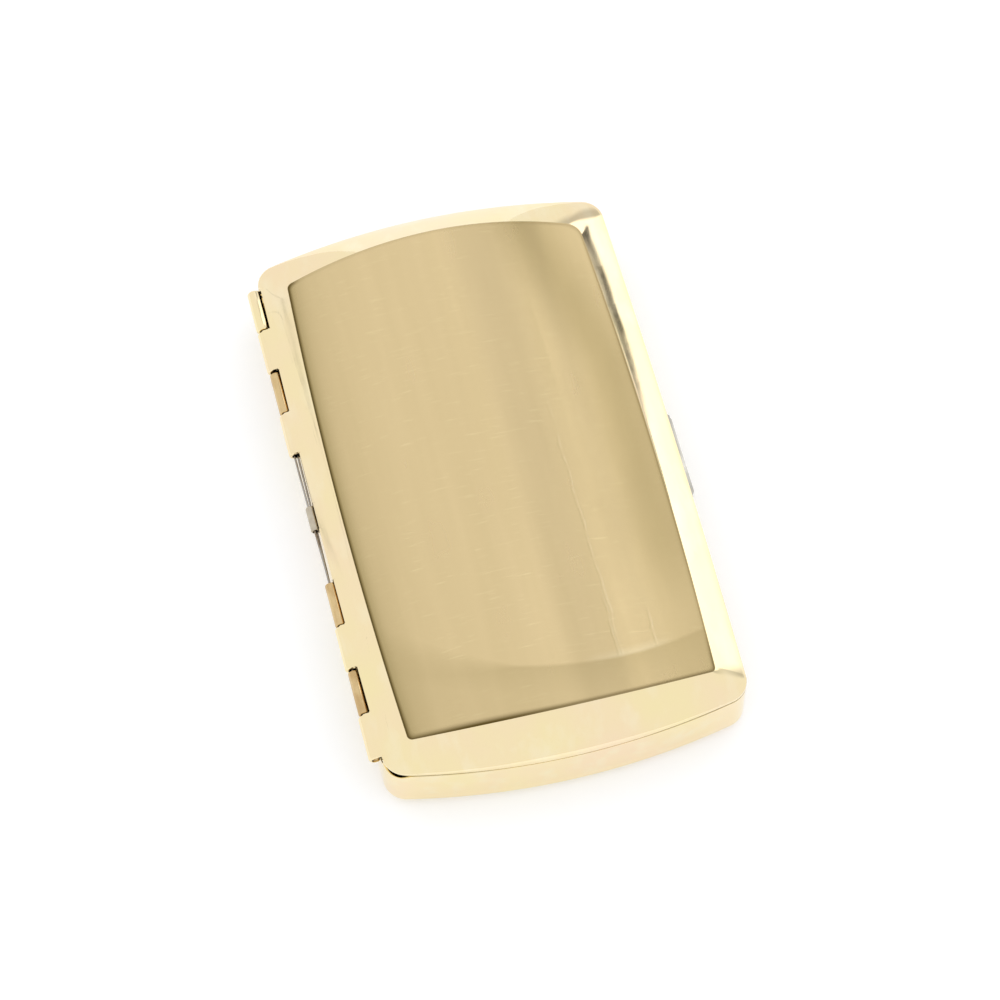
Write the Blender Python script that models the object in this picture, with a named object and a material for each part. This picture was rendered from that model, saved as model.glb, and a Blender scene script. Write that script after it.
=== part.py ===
"""A cigarette case of gilt sheet brass, closed and lying on its back.

Two pressed shells meet at a seam. Knuckles rolled from their own walls interleave along one
long side, round a pair of spring wires that are hinge pin and opening spring in one. A thumb
slide in the opposite wall holds the lid's catch.

Metres, +Z up. X runs across the case with the hinge at -X, and Y runs along it. The origin is
at the middle of the footprint, on the surface that the case rests on.
"""

import math

import bmesh
import bpy
from mathutils import Vector

# The two shells
CASE_LENGTH = 0.0960
CASE_WIDTH = 0.0564
END_BOW = 0.0027
SIDE_BOW = 0.0004
CORNER_RADIUS = 0.0037
SHEET = 0.00045
BASE_HEIGHT = 0.0099
BASE_ROLL = 0.0025
SEAM_GAP = 0.00012
LID_RISE = 0.00578
LID_WALL = 0.0006
LID_WALL_INSIDE = 0.00045

# The satin panel on the lid, measured where it is widest and longest
PANEL_EDGE_RISE = 0.0016
PANEL_FOLD_INSIDE = 0.0002
PANEL_SIDE_INSET = 0.0039
PANEL_END_INSET = 0.0057
PANEL_SIDE_BOW = 0.0010
PANEL_END_BOW = 0.0019
PANEL_CORNER = 0.0008
SIDE_SHOULDER_SHARE = 0.40
END_SHOULDER_SHARE = 0.22

# The hinge
KNUCKLE_RADIUS = 0.00105
HINGE_END_MARGIN = 0.0063
KNUCKLE_GAP = 0.0003
KNUCKLES_IN_GROUP = 4
HINGE_WINDOW = 0.0226
AXIS_STAND_OFF = 0.00045
NOTCH_CLEARANCE = 0.00015
KNUCKLE_FLANGE = 0.0013
KNUCKLE_FLANGE_DROP = 0.00035
BASE_CURL_DEG = (-50, 285)
LID_CURL_DEG = (90, 385)
WIRE_DIAMETER = 0.0004
WIRE_SPACING = 0.00045
WIRE_LEAN_DEG = 135
PLUG_LENGTH = 0.0016
PLUG_CLEARANCE = 0.0001
PLUG_RECESS = 0.0003
WIRE_END_GAP = 0.0002

# The clip round the wires in the hinge window
CLIP_LENGTH = 0.0042
CLIP_SHEET = 0.00022
CLIP_CLEARANCE = 0.00006
CLIP_WRAP_DEG = (-60, 280)
CLIP_NOTCH_MARGIN = 0.00015

# The latch, whose depths run inwards from the outer face of the latch-side wall
LATCH_Y = -0.0021
THUMB_LENGTH = 0.0152
THUMB_REACH = 0.00075
THUMB_TRAVEL = 0.0006
SLIDE_DROP = 0.00075
SLIDE_THICKNESS = 0.0012
SLIDE_SHOULDER = 0.0006
SLIDE_WEB = 0.0006
SLIDE_FIT = 0.00015
NOSE_CHAMFER = 0.0003
THUMB_ROUND = 0.0003
CATCH_SHEET = 0.0004
CATCH_WIDTH = 0.0058
CATCH_LIP = 0.00085
CATCH_FOOT = 0.0030
LATCH_SHEET = 0.00035
LATCH_FLANGE = 0.0020
SPRING_SHEET = 0.0002
SPRING_LENGTH = 0.0136
SPRING_BOW = 0.00068
SPRING_HEIGHT = 0.0009
POST_RADIUS = 0.0006
POST_SHANK_RADIUS = 0.00038
POST_HEAD_RADIUS = 0.00075
POST_HEAD = 0.00022
POST_STAND_OFF = 0.0004
POST_END_MARGIN = 0.0011
POST_HOLE_CLEARANCE = 0.0001

# Guides inside the base that stand up past the seam
GUIDE_SHEET = 0.00035
END_GUIDE_STAND = 0.0008
SIDE_GUIDE_STAND = 0.0004
GUIDE_DEPTH = 0.0030
GUIDE_FIT = 0.00015
END_GUIDE_MARGIN = 0.0101
SIDE_GUIDE_MARGIN = 0.0042
SIDE_GUIDE_GAP = 0.0030

# The elastic band over the row of cigarettes, with a folded clip at each end
BAND_DROP = 0.00095
BAND_WIDTH = 0.0090
BAND_THICKNESS = 0.0007
BAND_CLIP_SHEET = 0.0003
BAND_CLIP_GRIP = 0.0026
BAND_CLIP_OVERHANG = 0.0005
BAND_END_GAP = 0.0002
SOLDER_GAP = 0.0001

# How finely the curved faces are divided
SIDE_STEPS = 5
END_STEPS = 8
CORNER_STEPS = 5
ROLL_STEPS = 4
BORDER_STEPS = 5
ROUND_STEPS = 20
WIRE_STEPS = 10
CURL_STEPS = 20
CUT_OVERRUN = 0.001
SHARP_DEG = 30

HALF_WIDTH = CASE_WIDTH / 2
HALF_LENGTH = CASE_LENGTH / 2
CORNER_CENTRE_X = HALF_WIDTH - SIDE_BOW - CORNER_RADIUS
CORNER_CENTRE_Y = HALF_LENGTH - END_BOW - CORNER_RADIUS
PANEL_HALF_WIDTH = HALF_WIDTH - PANEL_SIDE_INSET
PANEL_HALF_LENGTH = HALF_LENGTH - PANEL_END_INSET
CROWN_RISE = LID_RISE - PANEL_EDGE_RISE
CROWN_RADIUS = (CROWN_RISE**2 + PANEL_HALF_WIDTH**2) / (2 * CROWN_RISE)
HINGE_END = HALF_LENGTH - HINGE_END_MARGIN
KNUCKLE_PITCH = (HINGE_END - HINGE_WINDOW / 2) / KNUCKLES_IN_GROUP
LID_RIM = BASE_HEIGHT + SEAM_GAP
AXIS_X = -HALF_WIDTH - AXIS_STAND_OFF
AXIS_Z = BASE_HEIGHT + SEAM_GAP / 2
BORE_RADIUS = KNUCKLE_RADIUS - SHEET
NOTCH_RADIUS = KNUCKLE_RADIUS + NOTCH_CLEARANCE
HINGE_REACH = AXIS_STAND_OFF + KNUCKLE_RADIUS
CASE_SHIFT_X = (HINGE_REACH - THUMB_REACH) / 2

# Latch places, worked inwards from the outer face of the wall and out from its middle
SLIDE_REACH = THUMB_LENGTH / 2 + SLIDE_SHOULDER
POST_REACH = SLIDE_REACH + POST_STAND_OFF + POST_RADIUS
LATCH_REACH = POST_REACH + POST_END_MARGIN
SLIDE_TOP = BASE_HEIGHT - SLIDE_DROP
SLIDE_BOTTOM = SLIDE_TOP - SLIDE_THICKNESS
WINDOW_START = SHEET + SLIDE_FIT
CATCH_START = WINDOW_START + THUMB_TRAVEL + SLIDE_FIT
LIP_END = CATCH_START + CATCH_SHEET + CATCH_LIP
WINDOW_END = LIP_END + SLIDE_FIT
SLIDE_END = WINDOW_END + SLIDE_WEB
BRACKET_BACK = SLIDE_END + SPRING_SHEET + SPRING_BOW + SLIDE_FIT + LATCH_SHEET
LIP_TOP = SLIDE_BOTTOM - SLIDE_FIT
SHELF_TOP = SLIDE_BOTTOM - SLIDE_FIT
COVER_BOTTOM = SLIDE_TOP + SLIDE_FIT

GOLD = (0.91, 0.76, 0.45)
RAW_BRASS = (0.80, 0.62, 0.30)
STEEL = (0.55, 0.54, 0.52)
ELASTIC = (0.72, 0.60, 0.38)


def clear_scene():
    for obj in list(bpy.data.objects):
        bpy.data.objects.remove(obj, do_unlink=True)


def material(name, colour, roughness, metallic):
    mat = bpy.data.materials.new(name)
    mat.use_nodes = True
    shader = mat.node_tree.nodes["Principled BSDF"]
    shader.inputs["Base Color"].default_value = (*colour, 1)
    shader.inputs["Roughness"].default_value = roughness
    shader.inputs["Metallic"].default_value = metallic
    return mat


def empty(name, location, parent=None):
    obj = bpy.data.objects.new(name, None)
    obj.location = location
    obj.parent = parent
    bpy.context.scene.collection.objects.link(obj)
    return obj


def finish(name, bm, mat, parent, origin=(0, 0, 0)):
    """Turns a bmesh drawn in the case's frame into an object whose own origin is given."""
    bmesh.ops.recalc_face_normals(bm, faces=bm.faces)
    bmesh.ops.translate(bm, verts=bm.verts, vec=-Vector(origin))
    mesh = bpy.data.meshes.new(name)
    bm.to_mesh(mesh)
    bm.free()
    mesh.shade_smooth()
    mesh.set_sharp_from_angle(angle=math.radians(SHARP_DEG))
    obj = bpy.data.objects.new(name, mesh)
    obj.location = origin
    obj.parent = parent
    if mat:
        mesh.materials.append(mat)
    bpy.context.scene.collection.objects.link(obj)
    return obj


def helper(name, bm, parent):
    """A cutter or a piece to be joined on, which is no piece of its own."""
    obj = finish(name, bm, None, parent)
    obj.hide_render = True
    obj.display_type = "WIRE"
    return obj


def boolean(obj, tool, operation):
    modifier = obj.modifiers.new(tool.name, "BOOLEAN")
    modifier.operation = operation
    modifier.solver = "EXACT"
    modifier.object = tool


def quarter_outline(half_width, half_length, side_bow, end_bow, radius, inset):
    """A quarter of a bowed rectangle with rounded corners, from +X round to +Y."""
    core_x = half_width - side_bow - radius
    core_y = half_length - end_bow - radius
    reach = radius - inset
    points = []
    for step in range(SIDE_STEPS + 1):
        share = step / SIDE_STEPS
        normal = Vector((core_y, 2 * side_bow * share)).normalized()
        core = Vector((core_x + side_bow * (1 - share**2), core_y * share))
        points.append(core + reach * normal)
    last_side = math.atan2(2 * side_bow, core_y)
    first_end = math.atan2(core_x, 2 * end_bow)
    for step in range(1, CORNER_STEPS):
        angle = last_side + (first_end - last_side) * step / CORNER_STEPS
        corner = Vector((core_x, core_y))
        points.append(corner + reach * Vector((math.cos(angle), math.sin(angle))))
    for step in range(END_STEPS, -1, -1):
        share = step / END_STEPS
        normal = Vector((2 * end_bow * share, core_x)).normalized()
        core = Vector((core_x * share, core_y + end_bow * (1 - share**2)))
        points.append(core + reach * normal)
    return points


def whole_outline(quarter):
    """Mirrors a quarter round the case. Point k and point -k face each other across Y."""
    left = [Vector((-p.x, p.y)) for p in reversed(quarter[:-1])]
    lower = [Vector((p.x, -p.y)) for p in reversed((quarter + left)[1:-1])]
    return quarter + left + lower


def case_outline(inset):
    size = (HALF_WIDTH, HALF_LENGTH, SIDE_BOW, END_BOW)
    return whole_outline(quarter_outline(*size, CORNER_RADIUS, inset))


def panel_outline(inset):
    size = (PANEL_HALF_WIDTH, PANEL_HALF_LENGTH, PANEL_SIDE_BOW, PANEL_END_BOW)
    return whole_outline(quarter_outline(*size, PANEL_CORNER, inset))


def wall_x(y):
    """How far the outer face of a long side stands from the middle of the case, at y."""
    return HALF_WIDTH - SIDE_BOW * (y / CORNER_CENTRE_Y) ** 2


def end_wall_y(x):
    """How far the outer face of an end stands from the middle of the case, at x."""
    return HALF_LENGTH - END_BOW * (x / CORNER_CENTRE_X) ** 2


def crown_height(x):
    """Height of the lid's crowned top over its own rim, at x."""
    return LID_RISE - CROWN_RADIUS + math.sqrt(CROWN_RADIUS**2 - x**2)


def border_point(rim, edge, wall, lowered, share):
    """A point on the lid's polished border, from the top of its wall to the panel's edge."""
    along_end = abs((edge - rim).normalized().y)
    shoulder = SIDE_SHOULDER_SHARE + (END_SHOULDER_SHARE - SIDE_SHOULDER_SHARE) * along_end
    rise = crown_height(edge.x) - lowered - wall
    height = 2 * share * (1 - share) * shoulder * rise + share**2 * rise
    place = rim.lerp(edge, share**2)
    return Vector((place.x, place.y, LID_RIM + wall + height))


def skin(bm, rings):
    """Draws a skin through rings of equal count, closed at the last by a ladder of faces."""
    rows = [[bm.verts.new(point) for point in ring] for ring in rings]
    count = len(rings[0])
    for lower, upper in zip(rows, rows[1:]):
        for k in range(count):
            nxt = (k + 1) % count
            bm.faces.new((lower[k], lower[nxt], upper[nxt], upper[k]))
    last = rows[-1]
    half = count // 2
    bm.faces.new((last[0], last[1], last[-1]))
    for k in range(1, half - 1):
        bm.faces.new((last[k], last[k + 1], last[-k - 1], last[-k]))
    bm.faces.new((last[half - 1], last[half], last[half + 1]))
    return rows[0]


def pressed_sheet(outer_rings, inner_rings):
    """One closed body between an outer skin and an inner skin that meet at the rim."""
    bm = bmesh.new()
    outer = skin(bm, outer_rings)
    inner = skin(bm, inner_rings)
    for k in range(len(outer)):
        nxt = (k + 1) % len(outer)
        bm.faces.new((outer[k], outer[nxt], inner[nxt], inner[k]))
    return bm


def strip_edges(path, thickness):
    """Points on both faces of a bent strip, square to its path, mitred where it turns."""
    left = []
    right = []
    for k, point in enumerate(path):
        before = (point - path[k - 1]).normalized() if k else None
        after = (path[k + 1] - point).normalized() if k + 1 < len(path) else None
        first = before or after
        second = after or before
        normal = Vector((-first.y - second.y, first.x + second.x)).normalized()
        mitre = 1 / max(normal.dot(Vector((-first.y, first.x))), 0.5)
        left.append(point + normal * mitre * thickness / 2)
        right.append(point - normal * mitre * thickness / 2)
    return left, right


def bent_strip(path, thickness, start, end, place):
    """A strip of sheet bent along a path in one plane and as wide as from start to end."""
    bm = bmesh.new()
    left, right = strip_edges(path, thickness)
    rows = []
    for a, b in zip(left, right):
        corners = (place(a, start), place(b, start), place(b, end), place(a, end))
        rows.append([bm.verts.new(corner) for corner in corners])
    for lower, upper in zip(rows, rows[1:]):
        for k in range(4):
            nxt = (k + 1) % 4
            bm.faces.new((lower[k], lower[nxt], upper[nxt], upper[k]))
    bm.faces.new(rows[0])
    bm.faces.new(rows[-1])
    return bm


def along_y(point, y):
    return Vector((point.x, y, point.y))


def along_z(point, z):
    return Vector((point.x, point.y, z))


def arc(centre, radius, start_deg, end_deg, steps):
    points = []
    for step in range(steps + 1):
        angle = math.radians(start_deg + (end_deg - start_deg) * step / steps)
        points.append(centre + radius * Vector((math.cos(angle), math.sin(angle))))
    return points


def add_box(bm, low, high):
    made = bmesh.ops.create_cube(bm, size=1)["verts"]
    low = Vector(low)
    high = Vector(high)
    bmesh.ops.scale(bm, verts=made, vec=high - low)
    bmesh.ops.translate(bm, verts=made, vec=(low + high) / 2)
    return made


def add_rod(bm, centre, radius, start, end, steps):
    """A round bar along Y through a point (x, z)."""
    rows = []
    for y in (start, end):
        rows.append([bm.verts.new(along_y(p, y)) for p in arc(centre, radius, 0, 360, steps)[:-1]])
    for k in range(steps):
        nxt = (k + 1) % steps
        bm.faces.new((rows[0][k], rows[0][nxt], rows[1][nxt], rows[1][k]))
    bm.faces.new(rows[0])
    bm.faces.new(rows[1])


def add_turned(bm, centre, profile, steps):
    """A turned piece about an upright axis. Its profile is (radius, z) from bottom to top."""
    rows = []
    for radius, z in profile:
        ring = arc(centre, radius, 0, 360, steps)[:-1]
        rows.append([bm.verts.new(along_z(p, z)) for p in ring])
    for lower, upper in zip(rows, rows[1:]):
        for k in range(steps):
            nxt = (k + 1) % steps
            bm.faces.new((lower[k], lower[nxt], upper[nxt], upper[k]))
    bm.faces.new(rows[0])
    bm.faces.new(rows[-1])


def hinge_axis():
    return Vector((AXIS_X, AXIS_Z))


def knuckle_spans(first):
    """(low y, high y) of every second knuckle place, far to near, in both groups.

    The base takes the first place of each group and the lid the second.
    """
    spans = []
    for top in (HINGE_END, -HINGE_WINDOW / 2):
        for k in range(first, KNUCKLES_IN_GROUP, 2):
            high = top - k * KNUCKLE_PITCH
            spans.append((high - KNUCKLE_PITCH, high))
    return spans


def hinge_cutters(name, others, parent):
    """What both shells lose at the hinge: room for the other's knuckles, bores, clip notch."""
    bm = bmesh.new()
    for low, high in others:
        add_rod(bm, hinge_axis(), NOTCH_RADIUS, low, high, ROUND_STEPS)
    notches = helper(f"{name}_notches", bm, parent)
    bm = bmesh.new()
    for low, high in ((HINGE_WINDOW / 2, HINGE_END), (-HINGE_END, -HINGE_WINDOW / 2)):
        ends = (low - KNUCKLE_GAP, high + KNUCKLE_GAP)
        add_rod(bm, hinge_axis(), BORE_RADIUS, *ends, ROUND_STEPS)
    half = CLIP_LENGTH / 2 + CLIP_NOTCH_MARGIN
    reach = clip_radius() + CLIP_SHEET + CLIP_NOTCH_MARGIN
    add_rod(bm, hinge_axis(), reach, -half, half, ROUND_STEPS)
    bores = helper(f"{name}_bores", bm, parent)
    return notches, bores


def base_rings(sheet):
    """Rings from the base's rim down round its rolled edge, on a skin set in by a sheet."""
    rings = [[along_z(p, BASE_HEIGHT) for p in case_outline(sheet)]]
    for step in range(ROLL_STEPS + 1):
        angle = math.pi / 2 * step / ROLL_STEPS
        inset = BASE_ROLL - (BASE_ROLL - sheet) * math.cos(angle)
        height = BASE_ROLL - (BASE_ROLL - sheet) * math.sin(angle)
        rings.append([along_z(p, height) for p in case_outline(inset)])
    return rings


def lid_rings(sheet, wall, fold):
    """Rings from the lid's rim up to its panel, on a skin set in by a sheet."""
    rim = case_outline(sheet)
    edge = panel_outline(fold)
    rings = [[along_z(p, LID_RIM) for p in rim]]
    for step in range(BORDER_STEPS + 1):
        share = step / BORDER_STEPS
        rings.append([border_point(p, q, wall, sheet, share) for p, q in zip(rim, edge)])
    return rings


def base_shell(mat, parent):
    sheet = pressed_sheet(base_rings(0), base_rings(SHEET))
    shell = finish("base_shell", sheet, mat, parent)
    middle = KNUCKLE_RADIUS - SHEET / 2
    for k, (low, high) in enumerate(knuckle_spans(0)):
        curl = arc(hinge_axis(), middle, *BASE_CURL_DEG, CURL_STEPS)
        ends = (low + KNUCKLE_GAP / 2, high - KNUCKLE_GAP / 2)
        tool = helper(f"base_knuckle_{k}", bent_strip(curl, SHEET, *ends, along_y), parent)
        boolean(shell, tool, "UNION")
    for tool in hinge_cutters("base", knuckle_spans(1), parent):
        boolean(shell, tool, "DIFFERENCE")
    bm = bmesh.new()
    half = THUMB_LENGTH / 2 + SLIDE_FIT
    low = (HALF_WIDTH - SHEET - CUT_OVERRUN, LATCH_Y - half, SLIDE_BOTTOM - SLIDE_FIT)
    high = (HALF_WIDTH + CUT_OVERRUN, LATCH_Y + half, SLIDE_TOP + SLIDE_FIT)
    add_box(bm, low, high)
    boolean(shell, helper("thumb_slot", bm, parent), "DIFFERENCE")
    return shell


def lid_shell(mat, parent, pivot):
    inside = lid_rings(SHEET, LID_WALL_INSIDE, PANEL_FOLD_INSIDE)
    sheet = pressed_sheet(lid_rings(0, LID_WALL, 0), inside)
    shell = finish("lid_shell", sheet, mat, pivot, (AXIS_X, 0, AXIS_Z))
    shell.location = (0, 0, 0)
    middle = KNUCKLE_RADIUS - SHEET / 2
    for k, (low, high) in enumerate(knuckle_spans(1)):
        root = hinge_axis() + Vector((KNUCKLE_FLANGE, KNUCKLE_RADIUS - KNUCKLE_FLANGE_DROP / 2))
        root.y -= SHEET / 2
        path = [root] + arc(hinge_axis(), middle, *LID_CURL_DEG, CURL_STEPS)
        ends = (low + KNUCKLE_GAP / 2, high - KNUCKLE_GAP / 2)
        tool = helper(f"lid_knuckle_{k}", bent_strip(path, SHEET, *ends, along_y), parent)
        boolean(shell, tool, "UNION")
    for tool in hinge_cutters("lid", knuckle_spans(0), parent):
        boolean(shell, tool, "DIFFERENCE")
    return shell


def clip_radius():
    """Inner radius of the clip, which just clears both wires."""
    return WIRE_SPACING / 2 + WIRE_DIAMETER / 2 + CLIP_CLEARANCE


def hinge_wires(mat, parent):
    plug_end = HINGE_END - PLUG_RECESS - PLUG_LENGTH
    lean = math.radians(WIRE_LEAN_DEG)
    offset = WIRE_SPACING / 2 * Vector((math.cos(lean), math.sin(lean)))
    for name, centre in (
        ("hinge_wire_outer", hinge_axis() + offset),
        ("hinge_wire_inner", hinge_axis() - offset),
    ):
        bm = bmesh.new()
        reach = plug_end - WIRE_END_GAP
        add_rod(bm, centre, WIRE_DIAMETER / 2, -reach, reach, WIRE_STEPS)
        finish(name, bm, mat, parent)


def anchor_plug(name, mat, parent, side, origin):
    bm = bmesh.new()
    outer = HINGE_END - PLUG_RECESS
    ends = sorted((side * outer, side * (outer - PLUG_LENGTH)))
    add_rod(bm, hinge_axis(), BORE_RADIUS - PLUG_CLEARANCE, *ends, ROUND_STEPS)
    obj = finish(name, bm, mat, parent, origin)
    obj.location = (0, 0, 0)


def wire_clip(mat, parent):
    """A split sleeve closed round both wires."""
    wrap = arc(hinge_axis(), clip_radius() + CLIP_SHEET / 2, *CLIP_WRAP_DEG, CURL_STEPS)
    half = CLIP_LENGTH / 2
    finish("wire_clip", bent_strip(wrap, CLIP_SHEET, -half, half, along_y), mat, parent)


def latch_point(depth, z):
    return Vector((HALF_WIDTH - depth, z))


def thumb_slide(mat, parent):
    """The thumb bar, and behind it the frame whose inner web holds the catch's lip."""
    bm = bmesh.new()
    half = THUMB_LENGTH / 2
    outer = HALF_WIDTH + THUMB_REACH
    inner = HALF_WIDTH - SLIDE_END
    step_x = HALF_WIDTH - WINDOW_START
    corner = THUMB_REACH
    outline = [
        (outer, LATCH_Y - half + corner),
        (outer, LATCH_Y + half - corner),
        (outer - corner, LATCH_Y + half),
        (step_x, LATCH_Y + half),
        (step_x, LATCH_Y + SLIDE_REACH),
        (inner, LATCH_Y + SLIDE_REACH),
        (inner, LATCH_Y - SLIDE_REACH),
        (step_x, LATCH_Y - SLIDE_REACH),
        (step_x, LATCH_Y - half),
        (outer - corner, LATCH_Y - half),
    ]
    bottom = bm.faces.new([bm.verts.new((x, y, SLIDE_BOTTOM)) for x, y in outline])
    made = bmesh.ops.extrude_face_region(bm, geom=[bottom])["geom"]
    top = [v for v in made if isinstance(v, bmesh.types.BMVert)]
    bmesh.ops.translate(bm, verts=top, vec=(0, 0, SLIDE_THICKNESS))
    outer_edges = [e for e in bm.edges if all(v.co.x > outer - corner / 2 for v in e.verts)]
    bmesh.ops.bevel(bm, geom=outer_edges, offset=THUMB_ROUND, segments=2, affect="EDGES")
    slide = finish("thumb_slide", bm, mat, parent)
    cutter = bmesh.new()
    room = CATCH_WIDTH / 2 + 2 * SLIDE_FIT
    low = (HALF_WIDTH - WINDOW_END, LATCH_Y - room, SLIDE_BOTTOM - CUT_OVERRUN)
    high = (step_x, LATCH_Y + room, SLIDE_TOP + CUT_OVERRUN)
    made = add_box(cutter, low, high)
    nose = [v for v in made if v.co.x < low[0] + NOSE_CHAMFER and v.co.z > SLIDE_TOP]
    lean = NOSE_CHAMFER * (SLIDE_THICKNESS + 2 * CUT_OVERRUN) / SLIDE_THICKNESS
    bmesh.ops.translate(cutter, verts=nose, vec=(-lean, 0, 0))
    boolean(slide, helper("slide_window", cutter, parent), "DIFFERENCE")


def lid_under_z(depth):
    """Height of the lid's inner face over the latch, a depth in from the outer wall."""
    rim = Vector((HALF_WIDTH - SHEET, 0))
    edge = Vector((HALF_WIDTH - PANEL_SIDE_INSET - PANEL_FOLD_INSIDE, 0))
    share = (rim.x - HALF_WIDTH + depth) / (rim.x - edge.x)
    if share > 1:
        return LID_RIM + crown_height(HALF_WIDTH - depth) - SHEET
    return border_point(rim, edge, LID_WALL_INSIDE, SHEET, math.sqrt(share)).z


def lid_catch(mat, parent, origin):
    """The tongue under the lid's edge: a foot soldered to the lid, a shank and a lip."""
    foot = [
        latch_point(depth, lid_under_z(depth) - SOLDER_GAP - CATCH_SHEET)
        for depth in (
            CATCH_START + CATCH_SHEET / 2 + CATCH_FOOT,
            CATCH_START + CATCH_SHEET / 2 + CATCH_FOOT / 2,
            CATCH_START + CATCH_SHEET / 2,
        )
    ]
    lip_z = LIP_TOP - CATCH_SHEET / 2
    shank = CATCH_START + CATCH_SHEET / 2
    path = foot + [latch_point(shank, lip_z), latch_point(LIP_END, lip_z)]
    half = CATCH_WIDTH / 2
    bm = bent_strip(path, CATCH_SHEET, LATCH_Y - half, LATCH_Y + half, along_y)
    obj = finish("lid_catch", bm, mat, parent, origin)
    obj.location = (0, 0, 0)


def post_centres():
    depth = (WINDOW_START + SLIDE_END) / 2
    return [Vector((HALF_WIDTH - depth, LATCH_Y + side * POST_REACH)) for side in (1, -1)]


def post_holes(name, parent):
    bm = bmesh.new()
    radius = POST_SHANK_RADIUS + POST_HOLE_CLEARANCE
    low = SHELF_TOP - LATCH_SHEET - CUT_OVERRUN
    high = COVER_BOTTOM + LATCH_SHEET + CUT_OVERRUN
    for centre in post_centres():
        add_turned(bm, centre, [(radius, low), (radius, high)], WIRE_STEPS)
    return helper(name, bm, parent)


def latch_bracket(mat, parent):
    """A folded channel: a flange down the wall, a shelf under the slide and a back."""
    middle = LATCH_SHEET / 2
    front = SHEET + SOLDER_GAP + middle
    shelf = SHELF_TOP - middle
    path = [
        latch_point(front, shelf - LATCH_FLANGE),
        latch_point(front, shelf),
        latch_point(BRACKET_BACK - middle, shelf),
        latch_point(BRACKET_BACK - middle, COVER_BOTTOM - SLIDE_FIT),
    ]
    ends = (LATCH_Y - LATCH_REACH, LATCH_Y + LATCH_REACH)
    strip = bent_strip(path, LATCH_SHEET, *ends, along_y)
    bracket = finish("latch_bracket", strip, mat, parent)
    bm = bmesh.new()
    room = CATCH_WIDTH / 2 + 2 * SLIDE_FIT
    deep = LIP_TOP - CATCH_SHEET - SLIDE_FIT
    low = (HALF_WIDTH - WINDOW_END, LATCH_Y - room, deep)
    high = (HALF_WIDTH, LATCH_Y + room, SHELF_TOP + CUT_OVERRUN)
    add_box(bm, low, high)
    boolean(bracket, helper("bracket_window", bm, parent), "DIFFERENCE")
    boolean(bracket, post_holes("bracket_holes", parent), "DIFFERENCE")


def latch_cover(mat, parent):
    """The plate over the slide, held by the two posts."""
    middle = COVER_BOTTOM + LATCH_SHEET / 2
    path = [latch_point(SHEET + SOLDER_GAP, middle), latch_point(BRACKET_BACK, middle)]
    ends = (LATCH_Y - LATCH_REACH, LATCH_Y + LATCH_REACH)
    strip = bent_strip(path, LATCH_SHEET, *ends, along_y)
    cover = finish("latch_cover", strip, mat, parent)
    bm = bmesh.new()
    room = CATCH_WIDTH / 2 + 2 * SLIDE_FIT
    low = (HALF_WIDTH - WINDOW_END, LATCH_Y - room, COVER_BOTTOM - CUT_OVERRUN)
    high = (HALF_WIDTH, LATCH_Y + room, COVER_BOTTOM + LATCH_SHEET + CUT_OVERRUN)
    add_box(bm, low, high)
    boolean(cover, helper("cover_window", bm, parent), "DIFFERENCE")
    boolean(cover, post_holes("cover_holes", parent), "DIFFERENCE")


def latch_posts(mat, parent):
    """Shouldered rivets that hold the cover a fixed way over the bracket."""
    under = SHELF_TOP - LATCH_SHEET - POST_HOLE_CLEARANCE
    over = COVER_BOTTOM + LATCH_SHEET + POST_HOLE_CLEARANCE
    shoulder_low = SHELF_TOP + POST_HOLE_CLEARANCE
    shoulder_high = COVER_BOTTOM - POST_HOLE_CLEARANCE
    profile = [
        (POST_HEAD_RADIUS, under - POST_HEAD),
        (POST_HEAD_RADIUS, under),
        (POST_SHANK_RADIUS, under),
        (POST_SHANK_RADIUS, shoulder_low),
        (POST_RADIUS, shoulder_low),
        (POST_RADIUS, shoulder_high),
        (POST_SHANK_RADIUS, shoulder_high),
        (POST_SHANK_RADIUS, over),
        (POST_HEAD_RADIUS, over),
        (POST_HEAD_RADIUS, over + POST_HEAD),
    ]
    for name, centre in zip(("latch_post_far", "latch_post_near"), post_centres()):
        bm = bmesh.new()
        add_turned(bm, centre, profile, WIRE_STEPS)
        finish(name, bm, mat, parent)


def latch_spring(mat, parent):
    """A bowed leaf whose ends bear on the bracket's back and whose crown bears on the slide."""
    half = SPRING_LENGTH / 2
    radius = (half**2 + SPRING_BOW**2) / (2 * SPRING_BOW)
    sweep = math.degrees(math.asin(half / radius))
    crown = HALF_WIDTH - SLIDE_END - SLIDE_FIT / 2 - SPRING_SHEET / 2
    centre = Vector((crown - radius, LATCH_Y))
    path = arc(centre, radius, -sweep, sweep, ROUND_STEPS)
    middle = (SLIDE_TOP + SLIDE_BOTTOM) / 2
    ends = (middle - SPRING_HEIGHT / 2, middle + SPRING_HEIGHT / 2)
    finish("latch_spring", bent_strip(path, SPRING_SHEET, *ends, along_z), mat, parent)


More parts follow.
